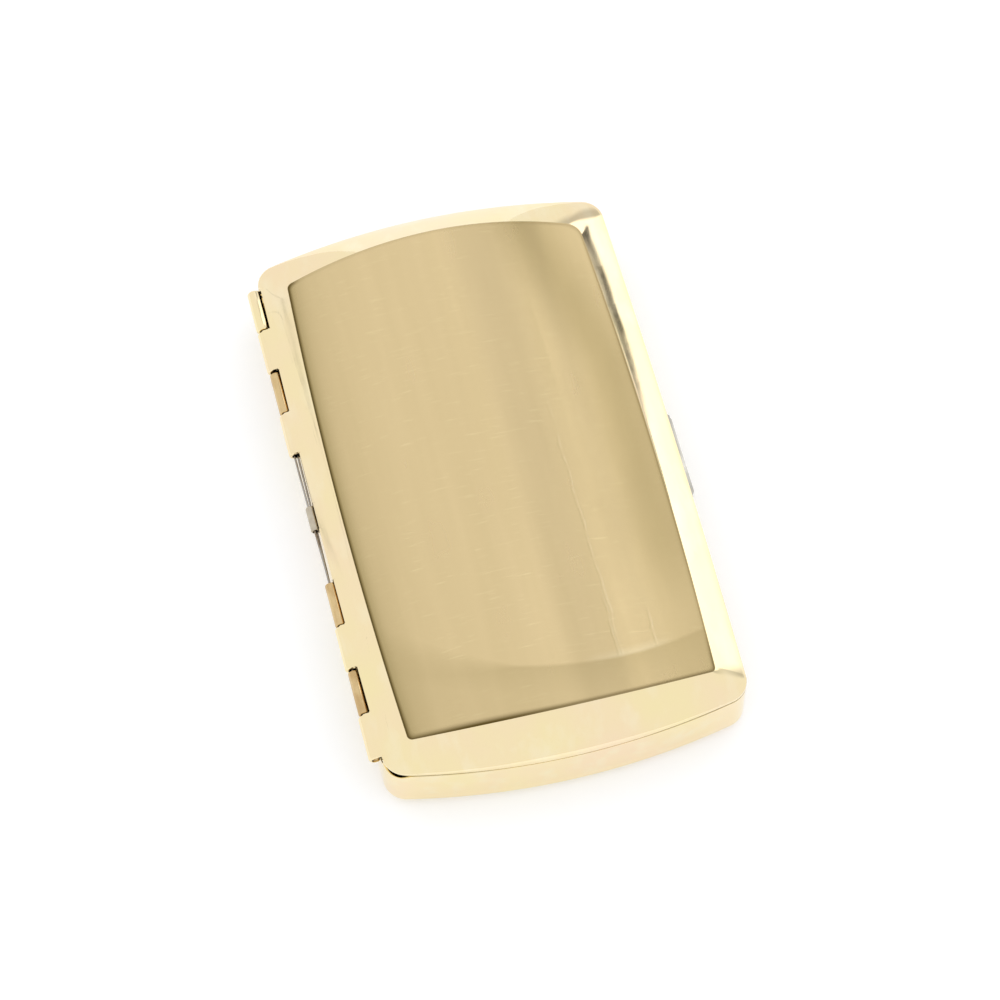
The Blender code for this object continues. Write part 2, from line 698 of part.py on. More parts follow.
def rim_guides(mat, parent):
    """Strips inside the base's free sides that stand up past the seam and centre the lid."""
    inner = SHEET + GUIDE_FIT + GUIDE_SHEET / 2
    ends = (BASE_HEIGHT - GUIDE_DEPTH, BASE_HEIGHT + END_GUIDE_STAND)
    for name, side in (("rim_guide_far", 1), ("rim_guide_near", -1)):
        path = []
        for step in range(-END_STEPS, END_STEPS + 1):
            x = (CORNER_CENTRE_X - END_GUIDE_MARGIN) * step / END_STEPS
            path.append(Vector((x, side * (end_wall_y(x) - inner))))
        finish(name, bent_strip(path, GUIDE_SHEET, *ends, along_z), mat, parent)
    ends = (BASE_HEIGHT - GUIDE_DEPTH, BASE_HEIGHT + SIDE_GUIDE_STAND)
    for name, side in (("rim_guide_side_far", 1), ("rim_guide_side_near", -1)):
        start = LATCH_Y + side * (LATCH_REACH + SIDE_GUIDE_GAP)
        end = side * (CORNER_CENTRE_Y - SIDE_GUIDE_MARGIN)
        path = []
        for step in range(SIDE_STEPS + 1):
            y = start + (end - start) * step / SIDE_STEPS
            path.append(Vector((wall_x(y) - inner, y)))
        finish(name, bent_strip(path, GUIDE_SHEET, *ends, along_z), mat, parent)


def elastic_band(band_mat, clip_mat, parent):
    """The band lies over the cigarettes, with a folded clip at each end."""
    middle = BASE_HEIGHT - BAND_DROP
    sides = {
        "band_clip_hinge": (-wall_x(0) + SHEET + SOLDER_GAP, 1),
        "band_clip_latch": (HALF_WIDTH - BRACKET_BACK - SOLDER_GAP, -1),
    }
    leaf = BAND_THICKNESS / 2 + SOLDER_GAP + BAND_CLIP_SHEET / 2
    half = BAND_WIDTH / 2
    reach = half + BAND_CLIP_OVERHANG
    ends = []
    for name, (seat, inward) in sides.items():
        back = seat + inward * BAND_CLIP_SHEET / 2
        tip = seat + inward * BAND_CLIP_GRIP
        path = [
            Vector((tip, middle + leaf)),
            Vector((back, middle + leaf)),
            Vector((back, middle - leaf)),
            Vector((tip, middle - leaf)),
        ]
        clip = bent_strip(path, BAND_CLIP_SHEET, -reach, reach, along_y)
        finish(name, clip, clip_mat, parent)
        ends.append(seat + inward * (BAND_CLIP_SHEET + BAND_END_GAP))
    path = [Vector((ends[0], middle)), Vector((ends[1], middle))]
    band = bent_strip(path, BAND_THICKNESS, -half, half, along_y)
    finish("elastic_band", band, band_mat, parent)


def build():
    clear_scene()
    gold = material("polished_gold", GOLD, 0.12, 1)
    brass = material("raw_brass", RAW_BRASS, 0.3, 1)
    steel = material("spring_steel", STEEL, 0.3, 1)
    elastic = material("elastic", ELASTIC, 0.85, 0)

    case = empty("case_frame", (CASE_SHIFT_X, 0, 0))
    pivot = empty("lid_pivot", (AXIS_X, 0, AXIS_Z), case)
    hinge = (AXIS_X, 0, AXIS_Z)

    base_shell(gold, case)
    lid_shell(gold, case, pivot)
    hinge_wires(steel, case)
    wire_clip(steel, case)
    anchor_plug("base_anchor_plug", brass, case, 1, (0, 0, 0))
    anchor_plug("lid_anchor_plug", brass, pivot, -1, hinge)
    thumb_slide(steel, case)
    latch_bracket(brass, case)
    latch_cover(brass, case)
    latch_posts(brass, case)
    latch_spring(steel, case)
    lid_catch(brass, pivot, hinge)
    rim_guides(brass, case)
    elastic_band(elastic, brass, case)


build()
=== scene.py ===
# %% [markdown]
# # A cigarette case in pale gilt brass
#
# The real case is two shells pressed from thin sheet brass and plated with pale gold. The lower
# one is a tray. The upper one is a shallow lid with a satin panel inside a polished border. Tabs
# of both walls are rolled round a pair of spring wires along one long side, and a thin grey thumb
# bar opens the latch on the other.
#
# The measured model holds every place and size. This lesson dresses it. The shells are drawn
# again from the same outline with many more points, because a mirror polish shows every facet,
# and each metal gets its own finish.

import math

import bmesh
import bpy
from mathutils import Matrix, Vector


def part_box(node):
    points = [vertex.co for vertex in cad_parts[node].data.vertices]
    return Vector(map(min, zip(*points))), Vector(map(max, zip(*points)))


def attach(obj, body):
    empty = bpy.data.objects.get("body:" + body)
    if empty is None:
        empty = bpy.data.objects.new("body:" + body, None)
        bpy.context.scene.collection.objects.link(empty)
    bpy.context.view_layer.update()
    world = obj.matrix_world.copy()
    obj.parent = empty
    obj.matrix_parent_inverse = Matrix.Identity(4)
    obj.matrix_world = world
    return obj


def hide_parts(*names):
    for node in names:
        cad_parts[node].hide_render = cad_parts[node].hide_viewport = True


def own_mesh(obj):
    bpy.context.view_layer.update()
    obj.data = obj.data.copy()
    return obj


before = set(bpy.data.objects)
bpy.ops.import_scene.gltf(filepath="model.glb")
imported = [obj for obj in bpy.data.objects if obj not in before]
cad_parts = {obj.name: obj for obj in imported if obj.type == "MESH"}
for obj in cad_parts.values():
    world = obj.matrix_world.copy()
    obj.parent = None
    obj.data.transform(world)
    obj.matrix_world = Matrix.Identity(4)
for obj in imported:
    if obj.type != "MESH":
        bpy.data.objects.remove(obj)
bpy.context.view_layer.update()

# %% [markdown]
# ## The camera
#
# The case lies flat and is seen from above its near end, a little from the hinge side. A long
# lens keeps its sides almost parallel. The camera is set by the direction to it from the middle
# of the seam, by its distance, and by where that middle falls in the picture. The last is done
# with a small lens shift, so the camera itself looks straight at the case.

# %% Sizes of the shells
guide_low, guide_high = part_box("rim_guide_far")
lid_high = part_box("lid_shell")[1]
SHIFT_X = (guide_low.x + guide_high.x) / 2
HALF_LENGTH = lid_high.y
HALF_WIDTH = lid_high.x - SHIFT_X
END_BOW = 0.0027
SIDE_BOW = 0.0004
CORNER_RADIUS = 0.0037
SHEET = 0.00045
BASE_HEIGHT = 0.0099
BASE_ROLL = 0.0025
SEAM_GAP = 0.00012
LID_RIM = BASE_HEIGHT + SEAM_GAP
LID_RISE = lid_high.z - LID_RIM
print("case:", round(2 * HALF_WIDTH, 5), "by", round(2 * HALF_LENGTH, 5), "shift", round(SHIFT_X, 6))

# %% Place the camera
IMAGE_SIZE = 1000
TARGET = Vector((SHIFT_X, 0, BASE_HEIGHT))
TO_CAMERA = Vector((-0.1186, -0.4727, 0.8732)).normalized()
CAMERA_DISTANCE = 0.6587
FOCAL_PIXELS = 4321
TARGET_PIXEL = (496.14, 479.88)
SENSOR_WIDTH = 36

camera_data = bpy.data.cameras.new("camera")
camera_data.sensor_width = SENSOR_WIDTH
camera_data.lens = SENSOR_WIDTH * FOCAL_PIXELS / IMAGE_SIZE
camera_data.shift_x = (IMAGE_SIZE / 2 - TARGET_PIXEL[0]) / IMAGE_SIZE
camera_data.shift_y = (TARGET_PIXEL[1] - IMAGE_SIZE / 2) / IMAGE_SIZE
camera_data.clip_start = 0.01
camera = bpy.data.objects.new("camera", camera_data)
camera.location = TARGET + CAMERA_DISTANCE * TO_CAMERA
camera.rotation_mode = "QUATERNION"
camera.rotation_quaternion = (-TO_CAMERA).to_track_quat("-Z", "Y")
bpy.context.scene.collection.objects.link(camera)
bpy.context.scene.camera = camera
bpy.context.scene.view_settings.view_transform = "Standard"
print("lens", round(camera_data.lens, 1), "mm, shift", camera_data.shift_x, camera_data.shift_y)

# %% [markdown]
# ## Finishes
#
# A finish is a small network of nodes. The colour of a metal is the tint of what it mirrors, so
# the Principled shader's metallic value is 1 and its base colour is pale gold. What tells one
# gold surface from another is the roughness, and the tiny shapes in the surface.
#
# Every network starts from the object coordinates, which here are metres on the real case. A
# noise texture scaled by 200 therefore has blobs about 5 mm across.

# %% Helpers for node networks
def node_maker(tree):
    """A function that adds a node to a tree and links or sets its inputs."""

    def node(kind, sources=(), **values):
        made = tree.nodes.new(kind)
        for key, value in values.items():
            setattr(made, key, value)
        for socket, source in dict(sources).items():
            if isinstance(source, bpy.types.NodeSocket):
                tree.links.new(source, made.inputs[socket])
            else:
                made.inputs[socket].default_value = source
        return made

    return node


def new_finish(name, colour, metallic, roughness):
    """A material, its Principled shader, and the function that adds nodes to it."""
    material = bpy.data.materials.new(name)
    material.use_nodes = True
    shader = material.node_tree.nodes["Principled BSDF"]
    shader.inputs["Base Color"].default_value = (*colour, 1)
    shader.inputs["Metallic"].default_value = metallic
    shader.inputs["Roughness"].default_value = roughness
    return material, shader, node_maker(material.node_tree)


def join(source, target):
    target.id_data.links.new(source, target)


def maths(node, operation, *sources):
    return node("ShaderNodeMath", dict(enumerate(sources)), operation=operation).outputs[0]


def stretched_noise(node, scale, detail=3, offset=0):
    """Noise in the case's own metres, stretched by a scale along each axis."""
    place = node("ShaderNodeTexCoord").outputs["Object"]
    mapped = node("ShaderNodeMapping", {"Vector": place, "Scale": scale, "Location": (offset,) * 3})
    settings = {"Vector": mapped.outputs[0], "Scale": 1, "Detail": detail}
    return node("ShaderNodeTexNoise", settings).outputs[0]


def remapped(node, value, low, high, from_low=0.3, from_high=0.7, **kind):
    """A value moved into another range. Most of a noise lies between 0.3 and 0.7."""
    ranges = dict(enumerate((value, from_low, from_high, low, high)))
    return node("ShaderNodeMapRange", ranges, **kind).outputs["Result"]


def mixed(node, share, under, colour):
    """A colour laid over another, by a share from 0 to 1. The one under it may be an output."""
    if not isinstance(under, bpy.types.NodeSocket):
        under = (*under, 1)
    return node("ShaderNodeMix", {0: share, 6: under, 7: (*colour, 1)}, data_type="RGBA").outputs[2]


def bumped(node, height, depth, under=None):
    settings = {"Height": height, "Strength": 1, "Distance": depth}
    if under:
        settings["Normal"] = under
    return node("ShaderNodeBump", settings).outputs["Normal"]


# %% [markdown]
# ### Polished gold
#
# Polished plate is never quite even. The pressing leaves slow waves, which bend what it mirrors,
# and handling leaves faint smears, where it is a little less sharp. The waves are a bump ten
# millionths of a metre deep, and the smears steer the roughness. Hairlines of the last polish are
# a second bump, far shallower. The plate also drifts between a yellower and a rosier tint, and it
# is paler where it was wiped most. Each of these is one noise.
#
# A painted shade lies beside the seam between the two shells, most of it by the corners, and
# none beside the hinge.

# %% Polished gold
GOLD_YELLOW = (0.905, 0.785, 0.45)
GOLD_ROSE = (0.915, 0.74, 0.50)
GOLD_PALE = (0.93, 0.83, 0.59)
WAVE_DEPTH = 0.000010
HAIRLINE_DEPTH = 0.0000003
# The colour of the painted shade beside the seam.
SEAM_SHADE_COLOUR = (0.34, 0.26, 0.09)
SEAM_HEIGHT = BASE_HEIGHT + SEAM_GAP / 2
SEAM_REACH = (0.00010, 0.00032)  # full up to the first distance, none past the second
SEAM_FROM_X = (-0.0272, -0.0262)  # none before the first place, full from the second
SEAM_SHARES = (0.22, 0.80)  # in the middle of an end, and by its corners
SEAM_CORNERS = (0.008, 0.021)  # where across the case those two shares hold


def seam_painted_shade(node):
    """How much painted shade lies beside the seam: more by the corners, and none by the hinge."""
    place = node("ShaderNodeTexCoord").outputs["Object"]
    x, _, z = node("ShaderNodeSeparateXYZ", {0: place}).outputs
    away = maths(node, "ABSOLUTE", maths(node, "SUBTRACT", z, SEAM_HEIGHT))
    uneven = remapped(node, stretched_noise(node, (90, 90, 0), offset=21), 0.55, 1)
    by_corners = remapped(node, maths(node, "ABSOLUTE", x), *SEAM_SHARES, *SEAM_CORNERS)
    beside = remapped(node, away, maths(node, "MULTIPLY", uneven, by_corners), 0, *SEAM_REACH)
    return maths(node, "MULTIPLY", beside, remapped(node, x, 0, 1, *SEAM_FROM_X))


def polished_gold():
    material, shader, node = new_finish("polished_gold", GOLD_YELLOW, 1, 0.06)
    drift = remapped(node, stretched_noise(node, (90, 60, 90)), 0, 1)
    colour = mixed(node, drift, GOLD_YELLOW, GOLD_ROSE)
    wiped = stretched_noise(node, (330, 120, 330), detail=5, offset=13)
    colour = mixed(node, remapped(node, wiped, 0, 0.6, 0.50, 0.75), colour, GOLD_PALE)
    # Painted shade darkens the gold beside the seam.
    join(mixed(node, seam_painted_shade(node), colour, SEAM_SHADE_COLOUR), shader.inputs["Base Color"])
    smears = stretched_noise(node, (260, 160, 260), detail=5, offset=3)
    join(remapped(node, smears, 0.02, 0.055), shader.inputs["Roughness"])
    waves = bumped(node, stretched_noise(node, (170, 70, 170), detail=1, offset=7), WAVE_DEPTH)
    hairlines = stretched_noise(node, (3600, 500, 3600), detail=2, offset=11)
    join(bumped(node, hairlines, HAIRLINE_DEPTH, under=waves), shader.inputs["Normal"])
    return material


POLISHED = polished_gold()
print("made", POLISHED.name)

# %% [markdown]
# ### The plainer metals
#
# The darker gold of the deeper knuckles, brass and the three steels are all made alike. One noise
# gives patches, which differ in tint and in roughness, and a finer one gives the grain of the sheet
# or the wire. A scale that is small along the case draws the grain out that way.
#
# Three of the base's knuckles sit a little deeper than the lid's. They take a darker, warmer and
# rougher gold in patches, which is painted shade for their deeper place. The wires are old
# spring steel, browned here and there. The sleeve on them is soft grey steel, and the thumb bar
# is bright steel, drawn along its length and rubbed brighter by thumbs. The inner parts are
# unplated brass, rolled and then darkened by handling.

# %% The plainer metals
SHADED_GOLD_DEEP = (0.58, 0.40, 0.19)
SHADED_GOLD_PALE = (0.70, 0.52, 0.27)
STEEL_GREY = (0.42, 0.40, 0.37)
STEEL_BROWN = (0.30, 0.24, 0.18)
BRASS = (0.72, 0.55, 0.29)
BRASS_DARK = (0.52, 0.37, 0.17)
SLEEVE_DULL = (0.50, 0.44, 0.34)
SLEEVE_GREY = (0.60, 0.54, 0.43)
BAR_DULL = (0.45, 0.43, 0.38)
BAR_BRIGHT = (0.66, 0.64, 0.59)
ALL_WAYS = Vector((1, 1, 1))


def plain_metal(name, tints, roughness, patches, grain, counts=(0.3, 0.7), depth=0.000002):
    """A metal of two tints in patches. Patches and grain say a noise's scale, detail and offset."""
    material, shader, node = new_finish(name, tints[0], 1, roughness[0])
    share = remapped(node, stretched_noise(node, *patches), 0, 1, *counts)
    join(mixed(node, share, *tints), shader.inputs["Base Color"])
    join(remapped(node, share, *roughness, 0, 1), shader.inputs["Roughness"])
    join(bumped(node, stretched_noise(node, *grain), depth), shader.inputs["Normal"])
    return material


# A darker copy of the gold, painted shade for the three deeper knuckles of the base.
SHADED_GOLD = plain_metal("shaded_gold", (SHADED_GOLD_DEEP, SHADED_GOLD_PALE), roughness=(0.28, 0.14), counts=(0.42, 0.62),
                   patches=((420, 260, 420), 4, 12), grain=(2500 * ALL_WAYS, 3, 14))
STEEL = plain_metal("spring_steel", (STEEL_GREY, STEEL_BROWN), roughness=(0.24, 0.40), counts=(0.4, 0.62),
                    patches=((500, 220, 500), 4, 21), grain=((16000, 300, 16000), 2, 22))
BRASS_FINISH = plain_metal("plain_brass", (BRASS, BRASS_DARK), roughness=(0.26, 0.42), depth=0.0000015,
                           patches=(160 * ALL_WAYS, 5, 31), grain=((9000, 700, 9000), 3, 32))
DULL_STEEL = plain_metal("dull_steel", (SLEEVE_DULL, SLEEVE_GREY), roughness=(0.46, 0.30), depth=0.000003,
                         patches=(900 * ALL_WAYS, 4, 34), grain=(5000 * ALL_WAYS, 3, 35))
BAR_FINISH = plain_metal("bright_steel", (BAR_DULL, BAR_BRIGHT), roughness=(0.34, 0.16), counts=(0.38, 0.6),
                         patches=((500, 160, 500), 4, 41), grain=((12000, 250, 12000), 3, 42))
print("made", [metal.name for metal in (SHADED_GOLD, STEEL, BRASS_FINISH, DULL_STEEL, BAR_FINISH)])

# %% [markdown]
# ### Satin gold
#
# The panel is rubbed across its width with a fine abrasive. The scratches are too fine to see
# one by one, but they spread what the panel mirrors along the case, square to the rubbing. That
# is what the anisotropic value does. Its direction comes from a UV map laid along the case. A few
# strokes are deep enough to see, so one stretched noise adds a shallow bump and another paler
# lines. A painted shade lies in the fold round the panel, and more painted shade darkens the satin
# beside the long folds and in a band on the right. Two attributes stored on the mesh mark those places.

# %% Tints and marks of the satin
SATIN_PALE = (0.75, 0.59, 0.33)
SATIN_DEEP = (0.70, 0.55, 0.30)
# The tone of painted shade on the satin.
SATIN_SHADE = (0.41, 0.32, 0.145)
# The tint of the painted shade in the fold round the panel.
SATIN_FOLD_SHADE = (0.12, 0.08, 0.02)
FOLD_SHADE_ATTRIBUTE = "fold_painted_shade"
EDGE_SHADE_ATTRIBUTE = "edge_shade_mark"
PANEL_UV = "along_case"


def panel_place(node):
    """Where a point of the panel lies, in metres across the case and along it."""
    uv = node("ShaderNodeUVMap", uv_map=PANEL_UV).outputs[0]
    along, across, _ = node("ShaderNodeSeparateXYZ", {0: uv}).outputs
    return [maths(node, "MULTIPLY", place, HALF_LENGTH) for place in (across, along)]


print("the panel's map:", PANEL_UV, "and its marks:", FOLD_SHADE_ATTRIBUTE, EDGE_SHADE_ATTRIBUTE)

# %% [markdown]
# The near end of the panel is painted darker, a painted reflection, up to a bent line across it,
# with a painted highlight as a pale rim on a part of that line. The panel's own UV map tells where a point
# lies, so the line is a formula.

# %% The band of painted reflection
REFLECTION_LINE = (-0.0356, -0.173, 11.8)  # level, slope and bend of the line
REFLECTION_SOFT = (0.0040, 0.0003, -0.022, -0.006)  # widths of its soft edge, and where across they hold
REFLECTION_SHARES = (0.40, 0.22)  # at the line, and further in
REFLECTION_FADE = 0.005
HIGHLIGHT_RIM_WIDTH = 0.0014
HIGHLIGHT_RIM_SHARE = 0.30
HIGHLIGHT_RIM_FROM = (0.004, 0.010)  # where across the rim comes in
HIGHLIGHT_RIM_TO = (0.0150, 0.0190)  # where across it goes out


def painted_reflection_band(node, colour, across, along):
    """Paints a darker reflection on the near end up to the bent line, with a painted highlight rim. Gives
    the colour and how far outside the band a place is.
    """
    level, slope, bend = REFLECTION_LINE
    line = maths(node, "MULTIPLY_ADD", maths(node, "MULTIPLY_ADD", across, bend, slope), across, level)
    past = maths(node, "SUBTRACT", line, along)
    soft = remapped(node, across, *REFLECTION_SOFT)
    in_reflection = remapped(node, maths(node, "DIVIDE", past, soft), 0, 1, -1, 1)
    # Painted reflection: the satin is darker up to the bent line.
    painted_dark_share = maths(node, "MULTIPLY", in_reflection, remapped(node, past, *REFLECTION_SHARES, 0, REFLECTION_FADE))
    colour = mixed(node, painted_dark_share, colour, SATIN_SHADE)
    outside_reflection = maths(node, "SUBTRACT", 1, in_reflection)
    # Painted highlight: a pale rim along a part of the line.
    rim = maths(node, "MULTIPLY", outside_reflection, remapped(node, past, 0, HIGHLIGHT_RIM_SHARE, -HIGHLIGHT_RIM_WIDTH, 0))
    rim = maths(node, "MULTIPLY", rim, remapped(node, across, 0, 1, *HIGHLIGHT_RIM_FROM))
    rim = maths(node, "MULTIPLY", rim, remapped(node, across, 1, 0, *HIGHLIGHT_RIM_TO))
    return mixed(node, rim, colour, GOLD_PALE), outside_reflection


# The band is a painted reflection.
print("the dulled band ends", round(1000 * (HALF_LENGTH + REFLECTION_LINE[0]), 1), "mm from the near end")

# %% [markdown]
# A few fine broken lines run along the case, each with a painted shade on one side and a painted
# highlight on the other. A little noise makes them wavy, and another breaks them.

# %% Lines of painted shade and highlight
# Each line's place across, its strength, and where along the case it is full and where it ends.
PAINTED_LINES = ((0.0098, 1, -0.033, -0.022), (0.0158, 1, -0.034, -0.026), (0.0102, 0.6, -0.004, 0.012))
# The dark side is painted shade and the pale side a painted highlight.
PAINTED_LINE_SIDES = ((-1, SATIN_SHADE, 0.35), (1, GOLD_PALE, 0.40))  # side, tone and share
PAINTED_LINE_HALF_WIDTH = 0.00018
PAINTED_LINE_WAVE = 0.00022
PAINTED_LINE_BREAKS = (0.15, 1, 0.40, 0.58)  # share in a break and outside one, and the noise for each


def painted_light_lines(node, colour, across, along, outside_reflection):
    """Lays on each line of painted shade and highlight, which is full up to one place along the case and
    ends at another.
    """
    wave = remapped(node, stretched_noise(node, (300, 220, 300), offset=23), -PAINTED_LINE_WAVE, PAINTED_LINE_WAVE)
    wavy = maths(node, "ADD", across, wave)
    broken = remapped(node, stretched_noise(node, (200, 420, 200), offset=24), *PAINTED_LINE_BREAKS)
    for middle, depth, full, end in PAINTED_LINES:
        length = maths(node, "MULTIPLY", outside_reflection, remapped(node, along, depth, 0, full, end))
        length = maths(node, "MULTIPLY", length, broken)
        for side, tone, strength in PAINTED_LINE_SIDES:
            off = maths(node, "SUBTRACT", wavy, middle + side * PAINTED_LINE_HALF_WIDTH)
            width = remapped(node, maths(node, "ABSOLUTE", off), strength, 0, 0, PAINTED_LINE_HALF_WIDTH)
            colour = mixed(node, maths(node, "MULTIPLY", length, width), colour, tone)
    return colour


# The lines carry painted shade and highlight.
print("rubbed lines:", len(PAINTED_LINES))

# %% Satin gold
SATIN_SPREAD = 0.85
SCRATCH_DEPTH = 0.0000040
TROUGH_DEPTH = 0.0000018


def satin_gold():
    material, shader, node = new_finish("satin_gold", SATIN_PALE, 1, 0.26)
    shader.inputs["Anisotropic"].default_value = SATIN_SPREAD
    tangent = node("ShaderNodeTangent", direction_type="UV_MAP", uv_map=PANEL_UV)
    join(tangent.outputs[0], shader.inputs["Tangent"])
    drift = remapped(node, stretched_noise(node, (240, 14, 240), detail=4, offset=2), 0, 1)
    colour = mixed(node, drift, SATIN_DEEP, SATIN_PALE)
    strokes = stretched_noise(node, (300, 3600, 300), offset=5)
    colour = mixed(node, remapped(node, strokes, 0, 0.28, 0.61, 0.76), colour, GOLD_YELLOW)
    across, along = panel_place(node)
    colour, outside_reflection = painted_reflection_band(node, colour, across, along)
    colour = painted_light_lines(node, colour, across, along, outside_reflection)
    # Both attributes lay painted shade on the satin: along its edges, and in the fold.
    for mark, tone in ((EDGE_SHADE_ATTRIBUTE, SATIN_SHADE), (FOLD_SHADE_ATTRIBUTE, SATIN_FOLD_SHADE)):
        share = node("ShaderNodeAttribute", attribute_name=mark).outputs["Fac"]
        colour = mixed(node, share, colour, tone)
    join(colour, shader.inputs["Base Color"])
    patches = stretched_noise(node, (200, 60, 200), detail=4, offset=9)
    join(remapped(node, patches, 0.23, 0.28), shader.inputs["Roughness"])
    scratches = bumped(node, stretched_noise(node, (350, 3300, 350), offset=4), SCRATCH_DEPTH)
    troughs = stretched_noise(node, (2600, 30, 2600), offset=16)
    join(bumped(node, troughs, TROUGH_DEPTH, under=scratches), shader.inputs["Normal"])
    return material


SATIN = satin_gold()
print("made", SATIN.name)

# %% [markdown]
# ### Gilt inside
#
# The inside is plated in the same bath but hardly polished, so it keeps the soft grain of the
# pressed sheet.

# %% Gilt inside
GILT_DEEP = (0.86, 0.70, 0.39)
GILT_PALE = (0.90, 0.75, 0.46)


def gilt_inside():
    material, shader, node = new_finish("gilt_inside", GOLD_YELLOW, 1, 0.26)
    drift = remapped(node, stretched_noise(node, 70 * ALL_WAYS, offset=6), 0, 1)
    join(mixed(node, drift, GILT_DEEP, GILT_PALE), shader.inputs["Base Color"])
    patches = stretched_noise(node, 400 * ALL_WAYS, detail=4, offset=1)
    join(remapped(node, patches, 0.25, 0.30), shader.inputs["Roughness"])
    grain = stretched_noise(node, 4000 * ALL_WAYS, offset=8)
    join(bumped(node, grain, 0.000002), shader.inputs["Normal"])
    return material


INSIDE = gilt_inside()
print("made", INSIDE.name)

# %% [markdown]
# ## The outline of the case
#
# Seen from above, the case is a rectangle whose sides and ends bow out a little, with rounded
# corners. The outline could be traced as a list of points, but a formula says more: it needs two
# half sizes, two bows and a radius, and it can be set in by any amount. One quarter is drawn and
# mirrored, so a point and its mirror image always face each other along the case.
#
# Rolled tabs interrupt the hinge side. The side is therefore divided where a tab starts and
# ends, with two points close together at each such place, so that the wall can step there.

# %% Where the hinge tabs are
clip_low, clip_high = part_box("wire_clip")
wire_low, wire_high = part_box("hinge_wire_inner")
KNUCKLE_GAP = 0.0003
KNUCKLES_IN_GROUP = 4
HINGE_WINDOW = 0.0226
HINGE_INSET = 0.0063
HINGE_END = HALF_LENGTH - HINGE_INSET
CLIP_FIT = 0.00015
KNUCKLE_PITCH = (HINGE_END - HINGE_WINDOW / 2) / KNUCKLES_IN_GROUP
KNUCKLE_RADIUS = 0.00105
AXIS = Vector(((clip_low.x + clip_high.x) / 2 - SHIFT_X, (clip_low.z + clip_high.z) / 2))
CLIP_ROOM = (clip_high.y - clip_low.y) / 2 + CLIP_FIT


def tab_at(y):
    """Which shell's tab is rolled round the wires at y, if either."""
    if abs(y) > HINGE_END or abs(y) < HINGE_WINDOW / 2:
        return None
    top = HINGE_END if y > 0 else -HINGE_WINDOW / 2
    return ("base", "lid")[int((top - y) / KNUCKLE_PITCH) % 2]


def tab_spans(shell):
    """(low y, high y) of each tab of a shell, from the far end to the near end."""
    spans = []
    for top in (HINGE_END, -HINGE_WINDOW / 2):
        for k in range(KNUCKLES_IN_GROUP):
            middle = top - (k + 0.5) * KNUCKLE_PITCH
            if tab_at(middle) == shell:
                spans.append((middle - KNUCKLE_PITCH / 2, middle + KNUCKLE_PITCH / 2))
    return spans


print("hinge axis", tuple(round(v, 6) for v in AXIS), "lid tabs", len(tab_spans("lid")))

# %% Divide the straight sides
CORNER_CENTRE = Vector((HALF_WIDTH - SIDE_BOW - CORNER_RADIUS, HALF_LENGTH - END_BOW - CORNER_RADIUS))
STEP_WIDTH = 0.00002
STEP_GUARD = 0.00010
SIDE_SPACING = 0.0019


def side_shares():
    """Shares of the straight side, with two close together wherever the wall steps."""
    steps = [CLIP_ROOM] + [HINGE_WINDOW / 2 + k * KNUCKLE_PITCH for k in range(KNUCKLES_IN_GROUP)]
    places = [0]
    for step in steps:
        count = max(1, round((step - places[-1]) / SIDE_SPACING))
        start = places[-1]
        places += [start + (step - start) * k / count for k in range(1, count)]
        places += [step + width for width in (-STEP_GUARD, -STEP_WIDTH, STEP_WIDTH, STEP_GUARD)]
    count = round((CORNER_CENTRE.y - places[-1]) / SIDE_SPACING)
    start = places[-1]
    places += [start + (CORNER_CENTRE.y - start) * k / count for k in range(1, count + 1)]
    return [place / CORNER_CENTRE.y for place in places]


SIDE_SHARES = side_shares()
print("points on half a side:", len(SIDE_SHARES))

# %% Draw the outlines
CORNER_STEPS = 16
END_STEPS = 34


def quarter_outline(half_width, half_length, side_bow, end_bow, radius, inset):
    """A quarter of a bowed rectangle with rounded corners, from +X round to +Y."""
    core = Vector((half_width - side_bow - radius, half_length - end_bow - radius))
    reach = radius - inset
    points = []
    for share in SIDE_SHARES:
        normal = Vector((core.y, 2 * side_bow * share)).normalized()
        middle = Vector((core.x + side_bow * (1 - share**2), core.y * share))
        points.append(middle + reach * normal)
    last_side = math.atan2(2 * side_bow, core.y)
    first_end = math.atan2(core.x, 2 * end_bow)
    for step in range(1, CORNER_STEPS):
        angle = last_side + (first_end - last_side) * step / CORNER_STEPS
        points.append(core + reach * Vector((math.cos(angle), math.sin(angle))))
    for step in range(END_STEPS, -1, -1):
        share = step / END_STEPS
        normal = Vector((2 * end_bow * share, core.x)).normalized()
        middle = Vector((core.x * share, core.y + end_bow * (1 - share**2)))
        points.append(middle + reach * normal)
    return points


def whole_outline(quarter):
    left = [Vector((-p.x, p.y)) for p in reversed(quarter[:-1])]
    lower = [Vector((p.x, -p.y)) for p in reversed((quarter + left)[1:-1])]
    return quarter + left + lower


def case_outline(inset):
    size = (HALF_WIDTH, HALF_LENGTH, SIDE_BOW, END_BOW)
    return whole_outline(quarter_outline(*size, CORNER_RADIUS, inset))


print("points round the case:", len(case_outline(0)))

# %% [markdown]
# ## Lofting a pressed sheet
#
# A pressed shell is one sheet with two faces. It could be drawn as one face and thickened with
# the Solidify modifier, but that folds over itself in the tight bend at the rim. Here both skins
# are lofted through their own rings and joined at the rim. Each ring has as many points as the
# outline, so the faces between two rings are plain quads. The last ring is closed by a ladder of
# long faces along the case, which lie exactly on a crown that curves across it only.

# %% Shade a mesh and dress a node with it
SHARP_DEG = 38


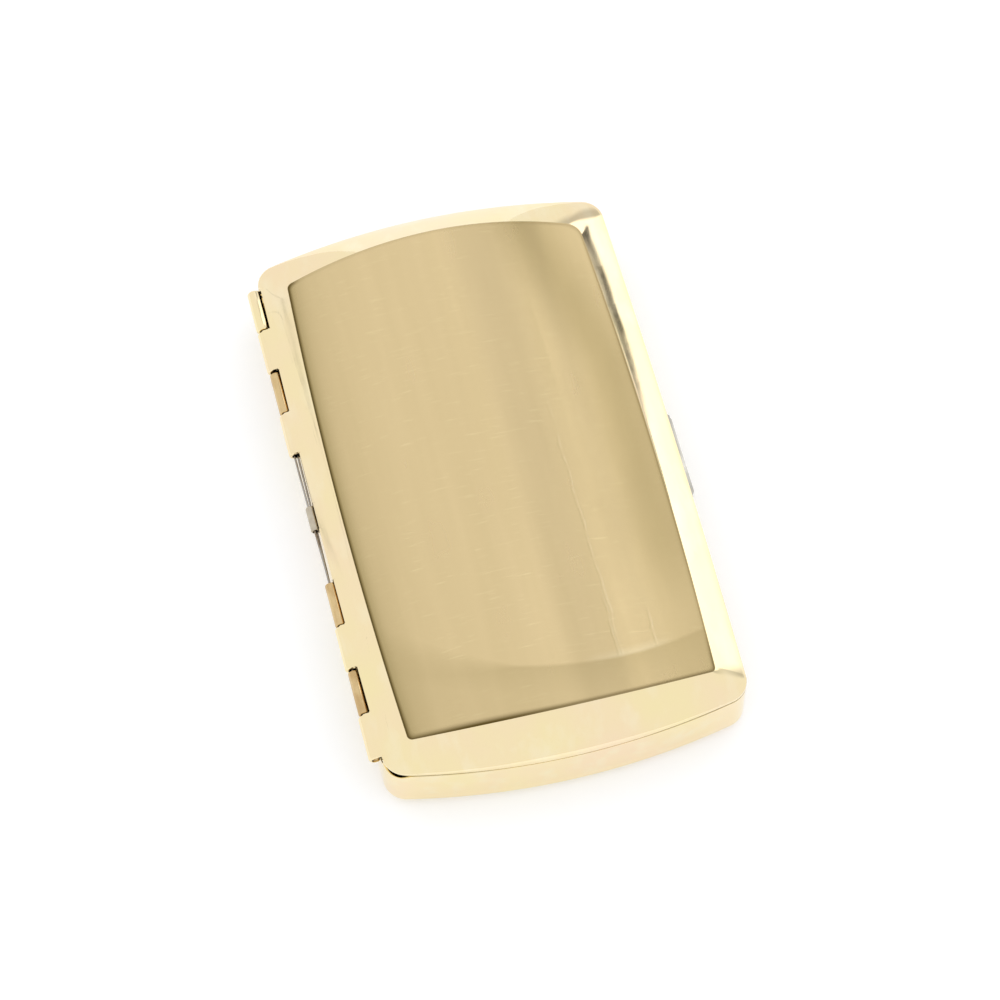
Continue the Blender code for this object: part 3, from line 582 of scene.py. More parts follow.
def finish_mesh(name, bm, materials, sharp=SHARP_DEG):
    """Moves what was drawn about the case's middle into the frame, as a shaded object."""
    bmesh.ops.recalc_face_normals(bm, faces=bm.faces)
    bmesh.ops.translate(bm, verts=bm.verts, vec=(SHIFT_X, 0, 0))
    mesh = bpy.data.meshes.new(name)
    bm.to_mesh(mesh)
    bm.free()
    mesh.shade_smooth()
    mesh.set_sharp_from_angle(angle=math.radians(sharp))
    for material in materials:
        mesh.materials.append(material)
    made = bpy.data.objects.new(name, mesh)
    bpy.context.scene.collection.objects.link(made)
    return made


def dress(piece, body, slot, *nodes):
    """Says which body a piece moves with, and which nodes it shows. The slot is not used."""
    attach(piece, body)
    if nodes:
        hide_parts(*nodes)
    return piece


# %% Loft rings and close them
RIM_ROUNDING = ((0, 0.22), (0.3, 0.06))  # share of the reach, share of the way to the inner skin


def loft(bm, rings, finishes):
    """Quads between rings of equal count. Returns the rows of vertices."""
    rows = [[bm.verts.new(point) for point in ring] for ring in rings]
    for lower, upper, index in zip(rows, rows[1:], finishes):
        for k in range(len(lower)):
            nxt = (k + 1) % len(lower)
            face = bm.faces.new((lower[k], lower[nxt], upper[nxt], upper[k]))
            face.material_index = index
    return rows


def close_along(bm, row, index):
    """Closes a ring with faces that run along the case, each between two mirrored edges."""
    half = len(row) // 2
    faces = [bm.faces.new((row[0], row[1], row[-1]))]
    for k in range(1, half - 1):
        faces.append(bm.faces.new((row[k], row[k + 1], row[-k - 1], row[-k])))
    faces.append(bm.faces.new((row[half - 1], row[half], row[half + 1])))
    for face in faces:
        face.material_index = index


def closed_loft(bm, rings):
    """A loft of one finish, with a face over each end."""
    rows = loft(bm, rings, [0] * len(rings))
    bm.faces.new(rows[0])
    bm.faces.new(rows[-1])


def bridge_rim(bm, outer, inner, index):
    for k in range(len(outer)):
        nxt = (k + 1) % len(outer)
        bm.faces.new((outer[k], outer[nxt], inner[nxt], inner[k])).material_index = index


def rounded_start(outer_at, inner_at, reach):
    """Three rings that round the outer edge of a rim, whose skins are given as functions."""
    rings = []
    for share, inward in RIM_ROUNDING:
        skins = zip(outer_at(reach * share), inner_at(reach * share))
        rings.append([outer.lerp(inner, inward) for outer, inner in skins])
    return rings + [outer_at(reach)]


# %% [markdown]
# ## The lid
#
# The lid's section starts at the rim, goes up a short wall, bends over in a soft shoulder and
# rises to the panel. On the real lid the panel was set down a little by a second stroke of the
# press. That leaves a fold with a rounded lip on the border's side and a soft roll on the
# panel's side, and the fold catches a dark line in almost any light.
#
# The section is a function of one number, from -1 at the rim through 0 at the top of the wall to
# 1 at the fold. Where a tab of the other shell needs room, the section simply starts later.

# %% The lid's section
PANEL_EDGE_RISE = 0.0016
PANEL_SIDE_INSET = 0.0039
PANEL_END_INSET = 0.0057
PANEL_SIDE_BOW = 0.0010
PANEL_END_BOW = 0.0019
PANEL_CORNER = 0.0008
ROUNDER_CORNER = 0.0023
ROUNDER_REACH = 0.006
PANEL_FOLD_INSIDE = 0.0002
LID_WALL = 0.0006
LID_WALL_INSIDE = 0.00045
SIDE_SHOULDER_SHARE = 0.40
END_SHOULDER_SHARE = 0.22
FOLD_DEPTH = 0.00012
LIP_WIDTH = 0.00022
PANEL_HALF_WIDTH = HALF_WIDTH - PANEL_SIDE_INSET
PANEL_HALF_LENGTH = HALF_LENGTH - PANEL_END_INSET
CROWN_RISE = LID_RISE - PANEL_EDGE_RISE
CROWN_RADIUS = (CROWN_RISE**2 + PANEL_HALF_WIDTH**2) / (2 * CROWN_RISE)


def crown_height(x):
    return LID_RISE - CROWN_RADIUS + math.sqrt(CROWN_RADIUS**2 - x**2)


def panel_outline(inset):
    """The fold round the panel, or a smaller outline of the same form inside it."""
    size = (PANEL_HALF_WIDTH - inset, PANEL_HALF_LENGTH - inset, PANEL_SIDE_BOW, PANEL_END_BOW)
    outline = whole_outline(quarter_outline(*size, PANEL_CORNER, 0))
    rounder = (ROUNDER_CORNER - PANEL_CORNER) * max(0, 1 - inset / ROUNDER_REACH)
    quarter = quarter_outline(*size, PANEL_CORNER + rounder, 0)
    return quarter + outline[len(quarter):]


def lid_section(rim, edge, step, wall, lowered, lip):
    """A point of the lid's section between a point of the rim and a point of the fold."""
    if step < 0:
        return Vector((rim.x, rim.y, LID_RIM + (1 + step) * wall))
    along_end = abs((edge - rim).normalized().y)
    shoulder = SIDE_SHOULDER_SHARE + (END_SHOULDER_SHARE - SIDE_SHOULDER_SHARE) * along_end
    rise = crown_height(edge.x) - lowered - wall
    height = 2 * step * (1 - step) * shoulder * rise + step**2 * rise
    place = rim.lerp(edge, step**2)
    to_fold = (1 - step**2) * (edge - rim).length
    if lip and to_fold < LIP_WIDTH:
        height -= FOLD_DEPTH * (1 - to_fold / LIP_WIDTH) ** 2
    return Vector((place.x, place.y, LID_RIM + wall + height))


print("crown radius", round(CROWN_RADIUS, 4))

# %% [markdown]
# The tabs of the lid are part of this same sheet. A tab leaves the section near the fold, passes
# over the wires and curls round them. Between the tabs the border keeps to the same face up to
# its edge, so that it runs on into them without a step.

# %% The face of a lid tab
CURL_STEPS = 56
TAB_ROOT_STEPS = (0.94, 0.93, 0.92, 0.91, 0.90)
TAB_ROOT_END = len(TAB_ROOT_STEPS) - 1
TAB_BEND_STEPS = 24
TAB_EMBED = 0.00001
LID_CURL_DEG = (97.5, 385)  # from the top of the curl round to its edge
TAB_FLARE = 0.0012
LIFT_SHARE = 0.97


def arc(centre, radius, start_deg, end_deg, steps):
    points = []
    for step in range(steps + 1):
        angle = math.radians(start_deg + (end_deg - start_deg) * step / steps)
        points.append(centre + radius * Vector((math.cos(angle), math.sin(angle))))
    return points


def bezier(start, first, second, end, t):
    """A point of a cubic curve, given as (x, z)."""
    u = 1 - t
    return u**3 * start + 3 * u**2 * t * first + 3 * u * t**2 * second + t**3 * end


def lid_tab_face():
    """The outer face of a tab, as (x, z) from near the fold to the top of the curl."""
    rim, edge = case_outline(0)[0], panel_outline(0)[0]
    face = []
    for k, step in enumerate(TAB_ROOT_STEPS):
        point = lid_section(rim, edge, step, LID_WALL, 0, False)
        face.append(Vector((-point.x, point.z - TAB_EMBED * (TAB_ROOT_END - k) / 2)))
    root = face[-1]
    top = arc(AXIS, KNUCKLE_RADIUS, LID_CURL_DEG[0], LID_CURL_DEG[0], 1)[0]
    reach = (top - root).length / 3
    first = root + (face[-1] - face[-2]).normalized() * reach
    start = math.radians(LID_CURL_DEG[0])
    second = top + reach * Vector((math.sin(start), -math.cos(start)))
    steps = range(1, TAB_BEND_STEPS + 1)
    return face + [bezier(root, first, second, top, k / TAB_BEND_STEPS) for k in steps]


TAB_FACE = lid_tab_face()


def lifted(point):
    """A point of the border, raised beside the tabs to run on into them."""
    spans = tab_spans("lid")
    share = max(0, 1 - max(spans[-1][0] - point.y, point.y - spans[0][1], 0) / TAB_FLARE)
    for near, far in zip(TAB_FACE[TAB_ROOT_END:], TAB_FACE[TAB_ROOT_END + 1:]):
        if far.x <= point.x <= near.x:
            height = near.y + (far.y - near.y) * (near.x - point.x) / (near.x - far.x)
            rise = LIFT_SHARE * share * share * (3 - 2 * share) * max(0, height - point.z)
            return Vector((point.x, point.y, point.z + rise))
    return point


print("tab face:", [tuple(round(v, 5) for v in place) for place in (TAB_FACE[0], TAB_FACE[-1])])

# %% Where the lid's section starts
FULL_NOTCH_STEP = 0.235
TIGHT_NOTCH_STEP = 0.13
CLIP_STEP = 0.09
TAB_STEP = -0.3
LID_RELIEF_SHARE = 0.5
RELIEF_POWER = 0.7


def corner_relief(point):
    """1 in the middle of each hinge-side corner, falling to 0 at its two walls."""
    across = -point.x - CORNER_CENTRE.x
    along = abs(point.y) - CORNER_CENTRE.y
    if across <= 0 or along <= 0:
        return 0
    return math.sin(2 * math.atan2(along, across)) ** RELIEF_POWER


def lid_start(point):
    if point.x > 0:
        return -1
    tab = tab_at(point.y)
    if tab == "base":
        return FULL_NOTCH_STEP if point.y > HINGE_END - KNUCKLE_PITCH else TIGHT_NOTCH_STEP
    if tab == "lid":
        return TAB_STEP
    if abs(point.y) < CLIP_ROOM:
        return CLIP_STEP
    return -1 + LID_RELIEF_SHARE * corner_relief(point)


section_starts = [lid_start(point) for point in case_outline(0)]
print("the section starts between", min(section_starts), "and", max(section_starts))

# %% Rings of the border
LIP_RINGS = 6
JOIN_STEP = 0.5


def lid_ring(rims, edges, starts, share, wall, lowered, lip):
    """A ring at a share from 0 at the rim to 1 at JOIN_STEP, then on to 2 at the fold."""
    ring = []
    for rim, edge, start in zip(rims, edges, starts):
        if share < 1:
            step = start + (JOIN_STEP - start) * share
        else:
            step = JOIN_STEP + (1 - JOIN_STEP) * (share - 1)
        point = lid_section(rim, edge, step, wall, lowered, lip)
        ring.append(lifted(point) if lip and step >= 0 else point)
    return ring


def lip_shares(edges, rims):
    """Shares of the section, close together where the lip bends down into the fold."""
    width = min((edge - rim).length for edge, rim in zip(edges, rims))
    places = [LIP_WIDTH * (1 - k / LIP_RINGS) for k in range(LIP_RINGS + 1)]
    return [1 + (math.sqrt(1 - place / width) - JOIN_STEP) / (1 - JOIN_STEP) for place in places]


# %% Rings of the panel
PANEL_INSETS = [0, 0.00004, 0.0001, 0.00018, 0.0003, 0.00045, 0.00065, 0.0009, 0.0012, 0.0016, 0.0021,
                0.0028, 0.0037, 0.0048, 0.0061, 0.0075, 0.0088, 0.0099, 0.0106, 0.0110, 0.0112]
PANEL_ROLL = 0.0020
END_FALL = 0.00010
END_FALL_WIDTH = 0.0085


def panel_ring(inset):
    ring = []
    for point in panel_outline(inset):
        roll = FOLD_DEPTH * max(0, 1 - inset / PANEL_ROLL) ** 2
        end = HALF_LENGTH - PANEL_END_INSET - PANEL_END_BOW * (point.x / PANEL_HALF_WIDTH) ** 2
        fall = END_FALL * max(0, 1 - (end - abs(point.y)) / END_FALL_WIDTH) ** 2
        fall -= END_FALL * max(0, 1 - inset / PANEL_ROLL) ** 2
        ring.append(Vector((point.x, point.y, LID_RIM + crown_height(point.x) - roll - max(fall, 0))))
    return ring


print("rings on the panel:", len(PANEL_INSETS), "down to", 1000 * PANEL_INSETS[-1], "mm inside the fold")

# %% [markdown]
# Two numbers are stored with each point of the panel, for the satin to read. One is the painted
# shade in the fold, which is deepest beside the hinge and at the near end. The other is a painted
# shade on the satin: more along the two long folds, and in a band on the right that fades to the near end.

# %% Mark the places of painted shade
FOLD_SHADE_WIDTH = 0.00045
FOLD_SHADE_CORNER = 0.0015
FOLD_SHADE_POWER = 1.3
FOLD_SHADE_NEAR = (0.6875, 0.8125)  # shares of the half length where the near end's painted shade starts and is full
FOLD_SHADE_DEPTHS = (0.12, 0.6, 0.9)  # at least, at the near end, beside the hinge
# A deeper patch of the painted fold shade at the near end.
FOLD_PATCH_X = -0.0125
FOLD_PATCH_REACH = 0.011
FOLD_PATCH_DEPTH = 0.4
LEFT_EDGE_SHADES = ((0.80, 0.0013), (0.33, 0.0050))  # share at the fold and how far it reaches, twice
RIGHT_EDGE_SHADES = ((0.30, 0.0005),)  # the same, once
RIGHT_SHADE_BAND = (0.0212, 0.0050, 0.66)  # middle, reach and share
RIGHT_SHADE_BAND_TURNS = (0.015, 0.25)  # where along the case it turns, and its slant from there
RIGHT_SHADE_BAND_FADES = (-0.018, -0.030, 0.45)  # where it starts to fade and stops, and how much it loses


def side_bow(place):
    """How far the panel's long folds bow in at a place along the case."""
    return PANEL_SIDE_BOW * (place.y / PANEL_HALF_LENGTH) ** 2


def fold_painted_shade(place, inset):
    """Painted shade in the fold, which is deepest beside the hinge and at the near end."""
    least, at_end, at_hinge = FOLD_SHADE_DEPTHS
    near_from, near_to = FOLD_SHADE_NEAR
    near = min(1, max(0, (-place.y / HALF_LENGTH - near_from) / (near_to - near_from)))
    patch = math.exp(-(((place.x - FOLD_PATCH_X) / FOLD_PATCH_REACH) ** 2))
    from_hinge_fold = max(0, place.x + PANEL_HALF_WIDTH - side_bow(place))
    beside_hinge = at_hinge * math.exp(-((from_hinge_fold / FOLD_SHADE_CORNER) ** 2))
    depth = max(near * (at_end + FOLD_PATCH_DEPTH * patch), beside_hinge, least)
    reach = FOLD_SHADE_WIDTH * (1 + near * patch)
    return depth * max(0, 1 - inset / reach) ** FOLD_SHADE_POWER


def edge_painted_shade(place):
    """Painted shade on the satin, along the two long folds and in a band on the right."""
    away = max(0, PANEL_HALF_WIDTH - side_bow(place) - abs(place.x))
    marks = LEFT_EDGE_SHADES if place.x < 0 else RIGHT_EDGE_SHADES
    painted_dark_share = sum(share * math.exp(-away / reach) for share, reach in marks)
    middle, reach, share = RIGHT_SHADE_BAND
    turns_from, slant = RIGHT_SHADE_BAND_TURNS
    middle -= slant * max(0, place.y - turns_from)
    fade_from, fade_to, fade = RIGHT_SHADE_BAND_FADES
    share *= 1 - fade * min(1, max(0, (fade_from - place.y) / (fade_from - fade_to)))
    return min(1, painted_dark_share + share * math.exp(-(((place.x - middle) / reach) ** 2)))


# The painted shade in the fold and the painted shade on the satin, at the two near corners.
for side in (-1, 1):
    corner = Vector((side * PANEL_HALF_WIDTH, -PANEL_HALF_LENGTH))
    print("near corner:", round(fold_painted_shade(corner, 0), 2), "grime,", round(edge_painted_shade(corner), 2), "painted_dark_share")

# %% Loft the lid
START_RINGS = 12
BORDER_RINGS = 14
RIM_ROUND_SHARE = 0.1


def lid_pressing():
    bm = bmesh.new()
    folds, edge_shades = (bm.verts.layers.float.new(name) for name in (FOLD_SHADE_ATTRIBUTE, EDGE_SHADE_ATTRIBUTE))
    uv = bm.loops.layers.uv.new(PANEL_UV)
    rims, edges = case_outline(0), panel_outline(0)
    inner_rims, inner_edges = case_outline(SHEET), panel_outline(PANEL_FOLD_INSIDE)

    def outer_at(share):
        return lid_ring(rims, edges, section_starts, share, LID_WALL, 0, True)

    def inner_at(share):
        return lid_ring(inner_rims, inner_edges, section_starts, share, LID_WALL_INSIDE, SHEET, False)

    lips = lip_shares(edges, rims)
    step = (1 - RIM_ROUND_SHARE) / START_RINGS
    start = [RIM_ROUND_SHARE + step * k for k in range(1, START_RINGS + 1)]
    border = [1 + (lips[0] - 1) * k / BORDER_RINGS for k in range(1, BORDER_RINGS + 1)]
    rings = rounded_start(outer_at, inner_at, RIM_ROUND_SHARE)
    rings += [outer_at(share) for share in start + border]
    polished = len(rings)
    # The lip rings take the satin finish and the full painted shade of the fold.
    rings += [outer_at(share) for share in lips[1:-1]]
    insets = [0] * (len(rings) - polished) + PANEL_INSETS
    rings += [panel_ring(inset) for inset in PANEL_INSETS]
    outer = loft(bm, rings, [0] * polished + [1] * (len(rings) - polished))
    close_along(bm, outer[-1], 1)
    inner_rings = [inner_at(2 * k / BORDER_RINGS) for k in range(BORDER_RINGS + 1)]
    inner = loft(bm, inner_rings, [2] * len(inner_rings))
    close_along(bm, inner[-1], 2)
    bridge_rim(bm, outer[0], inner[0], 0)
    for inset, row in zip(insets, outer[polished:]):
        for vert in row:
            vert[folds] = fold_painted_shade(vert.co, inset)
            vert[edge_shades] = edge_painted_shade(vert.co)
    for face in bm.faces:
        for loop in face.loops:
            loop[uv].uv = (loop.vert.co.y / HALF_LENGTH, loop.vert.co.x / HALF_LENGTH)
    return finish_mesh("lid_pressing", bm, (POLISHED, SATIN, INSIDE))


lid = dress(lid_pressing(), "lid", "gold_plate", "lid_shell")
print("lid faces:", len(lid.data.polygons))

# %% [markdown]
# ## The base
#
# The base is a deep tray whose walls stand straight and roll under at the bottom. Its rim dips
# at the two corners beside the hinge. Without that relief the lid's corners would strike the
# base as the lid turns, because the hinge axis lies outside the wall.

# %% Loft the base
ROLL_RINGS = 12
WALL_RINGS = 4
WALL_BELOW = 0.0017
RIM_ROUND = 0.00009
RIM_WORN = 0.00005
BASE_RELIEF = 0.0009
BASE_DROPS = {"lid": 0.00103, "base": 0.00075}  # how far the rim drops under the tabs of each shell
CLIP_DROP = 0.00067


def rim_drop(point):
    """How far the base's rim lies under the seam at a point of the outline."""
    if point.x > 0:
        return 0
    tab = tab_at(point.y)
    if tab:
        return BASE_DROPS[tab]
    if abs(point.y) < CLIP_ROOM:
        return CLIP_DROP
    return BASE_RELIEF * corner_relief(point)


def base_wall(inset, share):
    """A ring of the wall, from the rim at share 0 to a level line under every notch at 1."""
    level = BASE_HEIGHT - WALL_BELOW
    ring = []
    for outer, point in zip(case_outline(0), case_outline(inset)):
        top = BASE_HEIGHT - RIM_WORN - rim_drop(outer)
        ring.append(Vector((point.x, point.y, top + (level - top) * share)))
    return ring


def base_roll(sheet):
    rings = []
    for step in range(ROLL_RINGS + 1):
        angle = math.pi / 2 * step / ROLL_RINGS
        inset = BASE_ROLL - (BASE_ROLL - sheet) * math.cos(angle)
        height = BASE_ROLL - (BASE_ROLL - sheet) * math.sin(angle)
        rings.append([Vector((p.x, p.y, height)) for p in case_outline(inset)])
    return rings


def base_pressing():
    bm = bmesh.new()
    round_share = RIM_ROUND / WALL_BELOW
    rings = rounded_start(lambda s: base_wall(0, s), lambda s: base_wall(SHEET, s), round_share)
    rings += [base_wall(0, k / WALL_RINGS) for k in range(1, WALL_RINGS + 1)] + base_roll(0)
    outer = loft(bm, rings, [0] * len(rings))
    close_along(bm, outer[-1], 0)
    inner_rings = [base_wall(SHEET, k / WALL_RINGS) for k in range(WALL_RINGS + 1)] + base_roll(SHEET)
    inner = loft(bm, inner_rings, [1] * len(inner_rings))
    close_along(bm, inner[-1], 1)
    bridge_rim(bm, outer[0], inner[0], 0)
    return finish_mesh("base_pressing", bm, (POLISHED, INSIDE))


base = dress(base_pressing(), "base", "gold_plate", "base_shell")
print("base faces:", len(base.data.polygons))

# %% [markdown]
# ### The slot for the thumb bar
#
# The bar comes out through a slot below the rim. A slot inside a wall is the one place where a
# Boolean is the plain answer. The wall is almost flat there, so the cut leaves no mark on the
# polish.

# %% Cut the slot
slide_low, slide_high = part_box("thumb_slide")
SLIDE_FIT = 0.00015
SLIDE_SHOULDER = 0.0006
CUT_OVERRUN = 0.001


def cut_slot(wall):
    bm = bmesh.new()
    cube = bmesh.ops.create_cube(bm, size=1)["verts"]
    shoulder = SLIDE_SHOULDER - SLIDE_FIT
    low = Vector((HALF_WIDTH - SHEET - CUT_OVERRUN, slide_low.y + shoulder, slide_low.z - SLIDE_FIT))
    high = Vector((HALF_WIDTH + CUT_OVERRUN, slide_high.y - shoulder, slide_high.z + SLIDE_FIT))
    bmesh.ops.scale(bm, verts=cube, vec=high - low)
    bmesh.ops.translate(bm, verts=cube, vec=(low + high) / 2)
    cutter = finish_mesh("slot_cutter", bm, (POLISHED,))
    modifier = wall.modifiers.new("slot", "BOOLEAN")
    modifier.operation = "DIFFERENCE"
    modifier.solver = "EXACT"
    modifier.object = cutter
    evaluated = wall.evaluated_get(bpy.context.evaluated_depsgraph_get())
    mesh = bpy.data.meshes.new_from_object(evaluated)
    wall.modifiers.clear()
    wall.data = mesh
    bpy.data.objects.remove(cutter, do_unlink=True)
    mesh.shade_smooth()
    mesh.set_sharp_from_angle(angle=math.radians(SHARP_DEG))


cut_slot(base)
print("base faces after the cut:", len(base.data.polygons))

# %% [markdown]
# ## The rolled knuckles
#
# Each tab is part of its shell's own wall, rolled round the wires. A lid tab leaves the border
# in a long even curve, so no line shows where it starts. A base tab rises from the wall. Both
# are a strip along a path. The strip is lofted along the case through stations that draw in at
# each end, because the rolled ends are rounded off when the case is polished.

# %% Strips along a path
END_ROUND_DEG = (0, 18, 36, 54, 72, 90)
ROUND_FROM_POINTS = 4
HIDDEN_START = 0.5


def path_normals(path):
    normals = []
    for k in range(len(path)):
        along = (path[min(k + 1, len(path) - 1)] - path[max(k - 1, 0)]).normalized()
        normals.append(Vector((-along.y, along.x)))
    return normals


def rolled_strip(bm, path, thickness, low, high, end_round, flat=0):
    """A strip of sheet on both sides of a path across the case, with ends rounded outside.

    The first points, as many as flat says, belong to the plain part. It isn't rounded, and it
    starts thin, to hide inside the sheet it leaves.
    """
    normals = path_normals(path)
    shares = [min(1, max(0, (k - flat) / ROUND_FROM_POINTS)) for k in range(len(path))]
    depths = [thickness * min(1, HIDDEN_START + k / (2 * flat or 1)) for k in range(len(path))]
    turns = [math.radians(angle) for angle in END_ROUND_DEG]
    ends = [(end_round * (1 - math.cos(turn)), end_round * (1 - math.sin(turn))) for turn in turns]
    stations = [(low + inward, drawn_in) for inward, drawn_in in ends]
    stations += [(high - inward, drawn_in) for inward, drawn_in in reversed(ends)]
    rings = []
    for y, drawn_in in stations:
        outside = [p - n * (thickness / 2 - drawn_in * s) for p, n, s in zip(path, normals, shares)]
        inside = [p + n * (depth - thickness / 2) for p, n, depth in zip(path, normals, depths)]
        rings.append([Vector((p.x, y, p.y)) for p in outside + inside[::-1]])
    closed_loft(bm, rings)


# %% Roll the lid's tabs
TAB_END_ROUND = 0.0004
MOST_END_ROUND = 0.9


def lid_tab_path():
    """From inside the border, over the wires and round under them."""
    outer = TAB_FACE[:-1] + arc(AXIS, KNUCKLE_RADIUS, *LID_CURL_DEG, CURL_STEPS)
    return [p + n * SHEET / 2 for p, n in zip(outer, path_normals(outer))]


def roll_tab(name, shell, path, thickness, span, finish):
    bm = bmesh.new()
    ends = (span[0] + KNUCKLE_GAP / 2, span[1] - KNUCKLE_GAP / 2)
    flat = len(path) - CURL_STEPS - 1
    rolled_strip(bm, path, thickness, *ends, min(TAB_END_ROUND, thickness * MOST_END_ROUND), flat)
    return dress(finish_mesh(name, bm, (finish,)), shell, "gold_plate", f"{shell}_shell")


lid_tabs = [roll_tab(f"lid_knuckle_{number}", "lid", lid_tab_path(), SHEET, span, POLISHED)
            for number, span in enumerate(tab_spans("lid"), 1)]
print("lid tabs:", [tab.name for tab in lid_tabs])

# %% [markdown]
# The base's first knuckle, at the far end, is as full as the lid's. The other three were rolled a
# little tighter and sit a little deeper.

# %% Roll the base's tabs
BASE_CURL_DEG = (-25, 285)
BASE_TAB_ROOT = 0.0014
BASE_TAB_SPACING = 0.0002
BASE_TAB_POINTS = 4
TIGHT_RADIUS = 0.00088
TIGHT_SHEET = 0.0003
TIGHT_SHIFT = Vector((0.00007, -0.00005))


def base_tab_path(centre, radius, thickness):
    wall = -HALF_WIDTH + SHEET / 2
    curl = arc(centre, radius - thickness / 2, *BASE_CURL_DEG, CURL_STEPS)
    foot = BASE_HEIGHT - BASE_TAB_ROOT
    root = [Vector((wall, foot + k * BASE_TAB_SPACING)) for k in range(BASE_TAB_POINTS)]
    return root + curl


def roll_base_tabs():
    made = []
    for number, span in enumerate(tab_spans("base"), 1):
        centre, radius, sheet, finish = AXIS, KNUCKLE_RADIUS, SHEET, POLISHED
        # The three deeper knuckles take the darker gold, painted shade for their place.
        if number > 1:
            centre, radius, sheet, finish = AXIS + TIGHT_SHIFT, TIGHT_RADIUS, TIGHT_SHEET, SHADED_GOLD
        path = base_tab_path(centre, radius, sheet)
        made.append(roll_tab(f"base_knuckle_{number}", "base", path, sheet, span, finish))
    return made


base_tabs = roll_base_tabs()
print("base tabs:", [tab.name for tab in base_tabs])

# %% [markdown]
# ## The hinge wires
#
# Two spring wires lie side by side through all eight knuckles. Their far ends are held by the
# base and their near ends by the lid, so closing the lid twists the pair, and the twist throws
# the lid open when the latch lets go. The twist shows in the open window in the middle of the
# hinge: the wires lie side by side at its far end and one behind the other at its near end.

# %% Twist the wires
WIRE_RADIUS = 0.00016
WIRE_OFFSET = 0.000255
WIRE_LEAN_DEG = 135
TWIST_DEG = 42
TWIST_REACH = 0.0125
WIRE_SIDES = 20
WIRE_STATIONS = 64
ROD_END = ((0.55, 0), (0.9, 0.12), (1, 0.35))  # share of the radius, and how many radii inside the end


def turned(bm, stations, sides):
    """A round solid through stations along the case, each a centre and a radius."""
    turns = [2 * math.pi * k / sides for k in range(sides)]
    ways = [Vector((math.cos(turn), 0, math.sin(turn))) for turn in turns]
    closed_loft(bm, [[centre + radius * way for way in ways] for centre, radius in stations])


def rod(bm, centres, radius, sides):
    """A round rod through centres along the case, with softly rounded ends."""
    first, last = centres[0], centres[-1]
    low, high = first.y + radius / 2, last.y - radius / 2
    ends = [(Vector((0, radius * inward, 0)), radius * share) for share, inward in ROD_END]
    stations = [(first + inward, reach) for inward, reach in ends]
    stations += [(centre, radius) for centre in centres if low < centre.y < high]
    stations += [(last - inward, reach) for inward, reach in reversed(ends)]
    turned(bm, stations, sides)


def hinge_wire(name, side):
    """One wire of the pair. The lean of the pair turns as it crosses the window."""
    bm = bmesh.new()
    centres = []
    for k in range(WIRE_STATIONS + 1):
        y = wire_low.y + (wire_high.y - wire_low.y) * k / WIRE_STATIONS
        lean = math.radians(WIRE_LEAN_DEG + TWIST_DEG * max(-1, min(1, y / TWIST_REACH)))
        place = AXIS + side * WIRE_OFFSET * Vector((math.cos(lean), math.sin(lean)))
        centres.append(Vector((place.x, y, place.y)))
    rod(bm, centres, WIRE_RADIUS, WIRE_SIDES)
    return dress(finish_mesh(f"{name}_twisted", bm, (STEEL,)), "base", "spring_steel", name)


wires = [hinge_wire("hinge_wire_outer", 1), hinge_wire("hinge_wire_inner", -1)]
print("wires:", [wire.name for wire in wires], "radius", round(WIRE_RADIUS, 5))

# %% [markdown]
# ### The clip and the plugs
#
# A little sleeve of grey steel is closed round both wires in the middle of the window. Without it
# the twisted pair would bow out. At each end of the hinge a brass plug grips one end of the pair.

# %% Clip and plugs
CLIP_INNER_RADIUS = 0.000485
CLIP_SHEET = 0.00022
CLIP_CURL_DEG = (-52, 292)
CLIP_END_ROUND = 0.00018
PLUG_EDGE = 0.00012
PLUG_MARK = (0.2, 0.45)  # deep and shallow rings of the mark, as shares of the radius
PLUG_SIDES = 32


def clip_sleeve():
    bm = bmesh.new()
    wrap = arc(AXIS, CLIP_INNER_RADIUS + CLIP_SHEET / 2, *CLIP_CURL_DEG, CURL_STEPS)
    rolled_strip(bm, wrap, CLIP_SHEET, clip_low.y, clip_high.y, CLIP_END_ROUND)
    return dress(finish_mesh("clip_sleeve", bm, (DULL_STEEL,)), "base", "spring_steel", "wire_clip")


def plug(node_name, body):
    """A turned plug with an eased rim and a small mark where the pair was staked."""
    low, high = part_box(node_name)
    radius = (high.x - low.x) / 2
    deep, shallow = PLUG_MARK
    profile = [(PLUG_EDGE, deep), (0, shallow), (0, 1 - PLUG_EDGE / radius), (PLUG_EDGE, 1)]
    places = [(low.y + inward, share) for inward, share in profile]
    places += [(high.y - inward, share) for inward, share in reversed(profile)]
    bm = bmesh.new()
    turned(bm, [(Vector((AXIS.x, y, AXIS.y)), radius * share) for y, share in places], PLUG_SIDES)
    made = finish_mesh(f"{node_name}_turned", bm, (BRASS_FINISH,))
    return dress(made, body, "plain_brass", node_name)


clip_sleeve()
plugs = [plug("base_anchor_plug", "base"), plug("lid_anchor_plug", "lid")]
print("clip and", len(plugs), "plugs")

# %% [markdown]
# ## The small parts
#
# The latch, the rim guides and the clips of the band are cut and folded from thin sheet. The
# measured model has their exact forms with sharp edges. Real sheet has eased edges, and those
# are what catch the light, so each part is copied, its flat faces are merged and its edges are
# rounded a little.

# %% Ease the edges of the small parts
EDGE_EASE = 0.00005
EASE_FROM_DEG = 30
FLAT_WITHIN_DEG = 1
SAME_POINT = 0.0000005


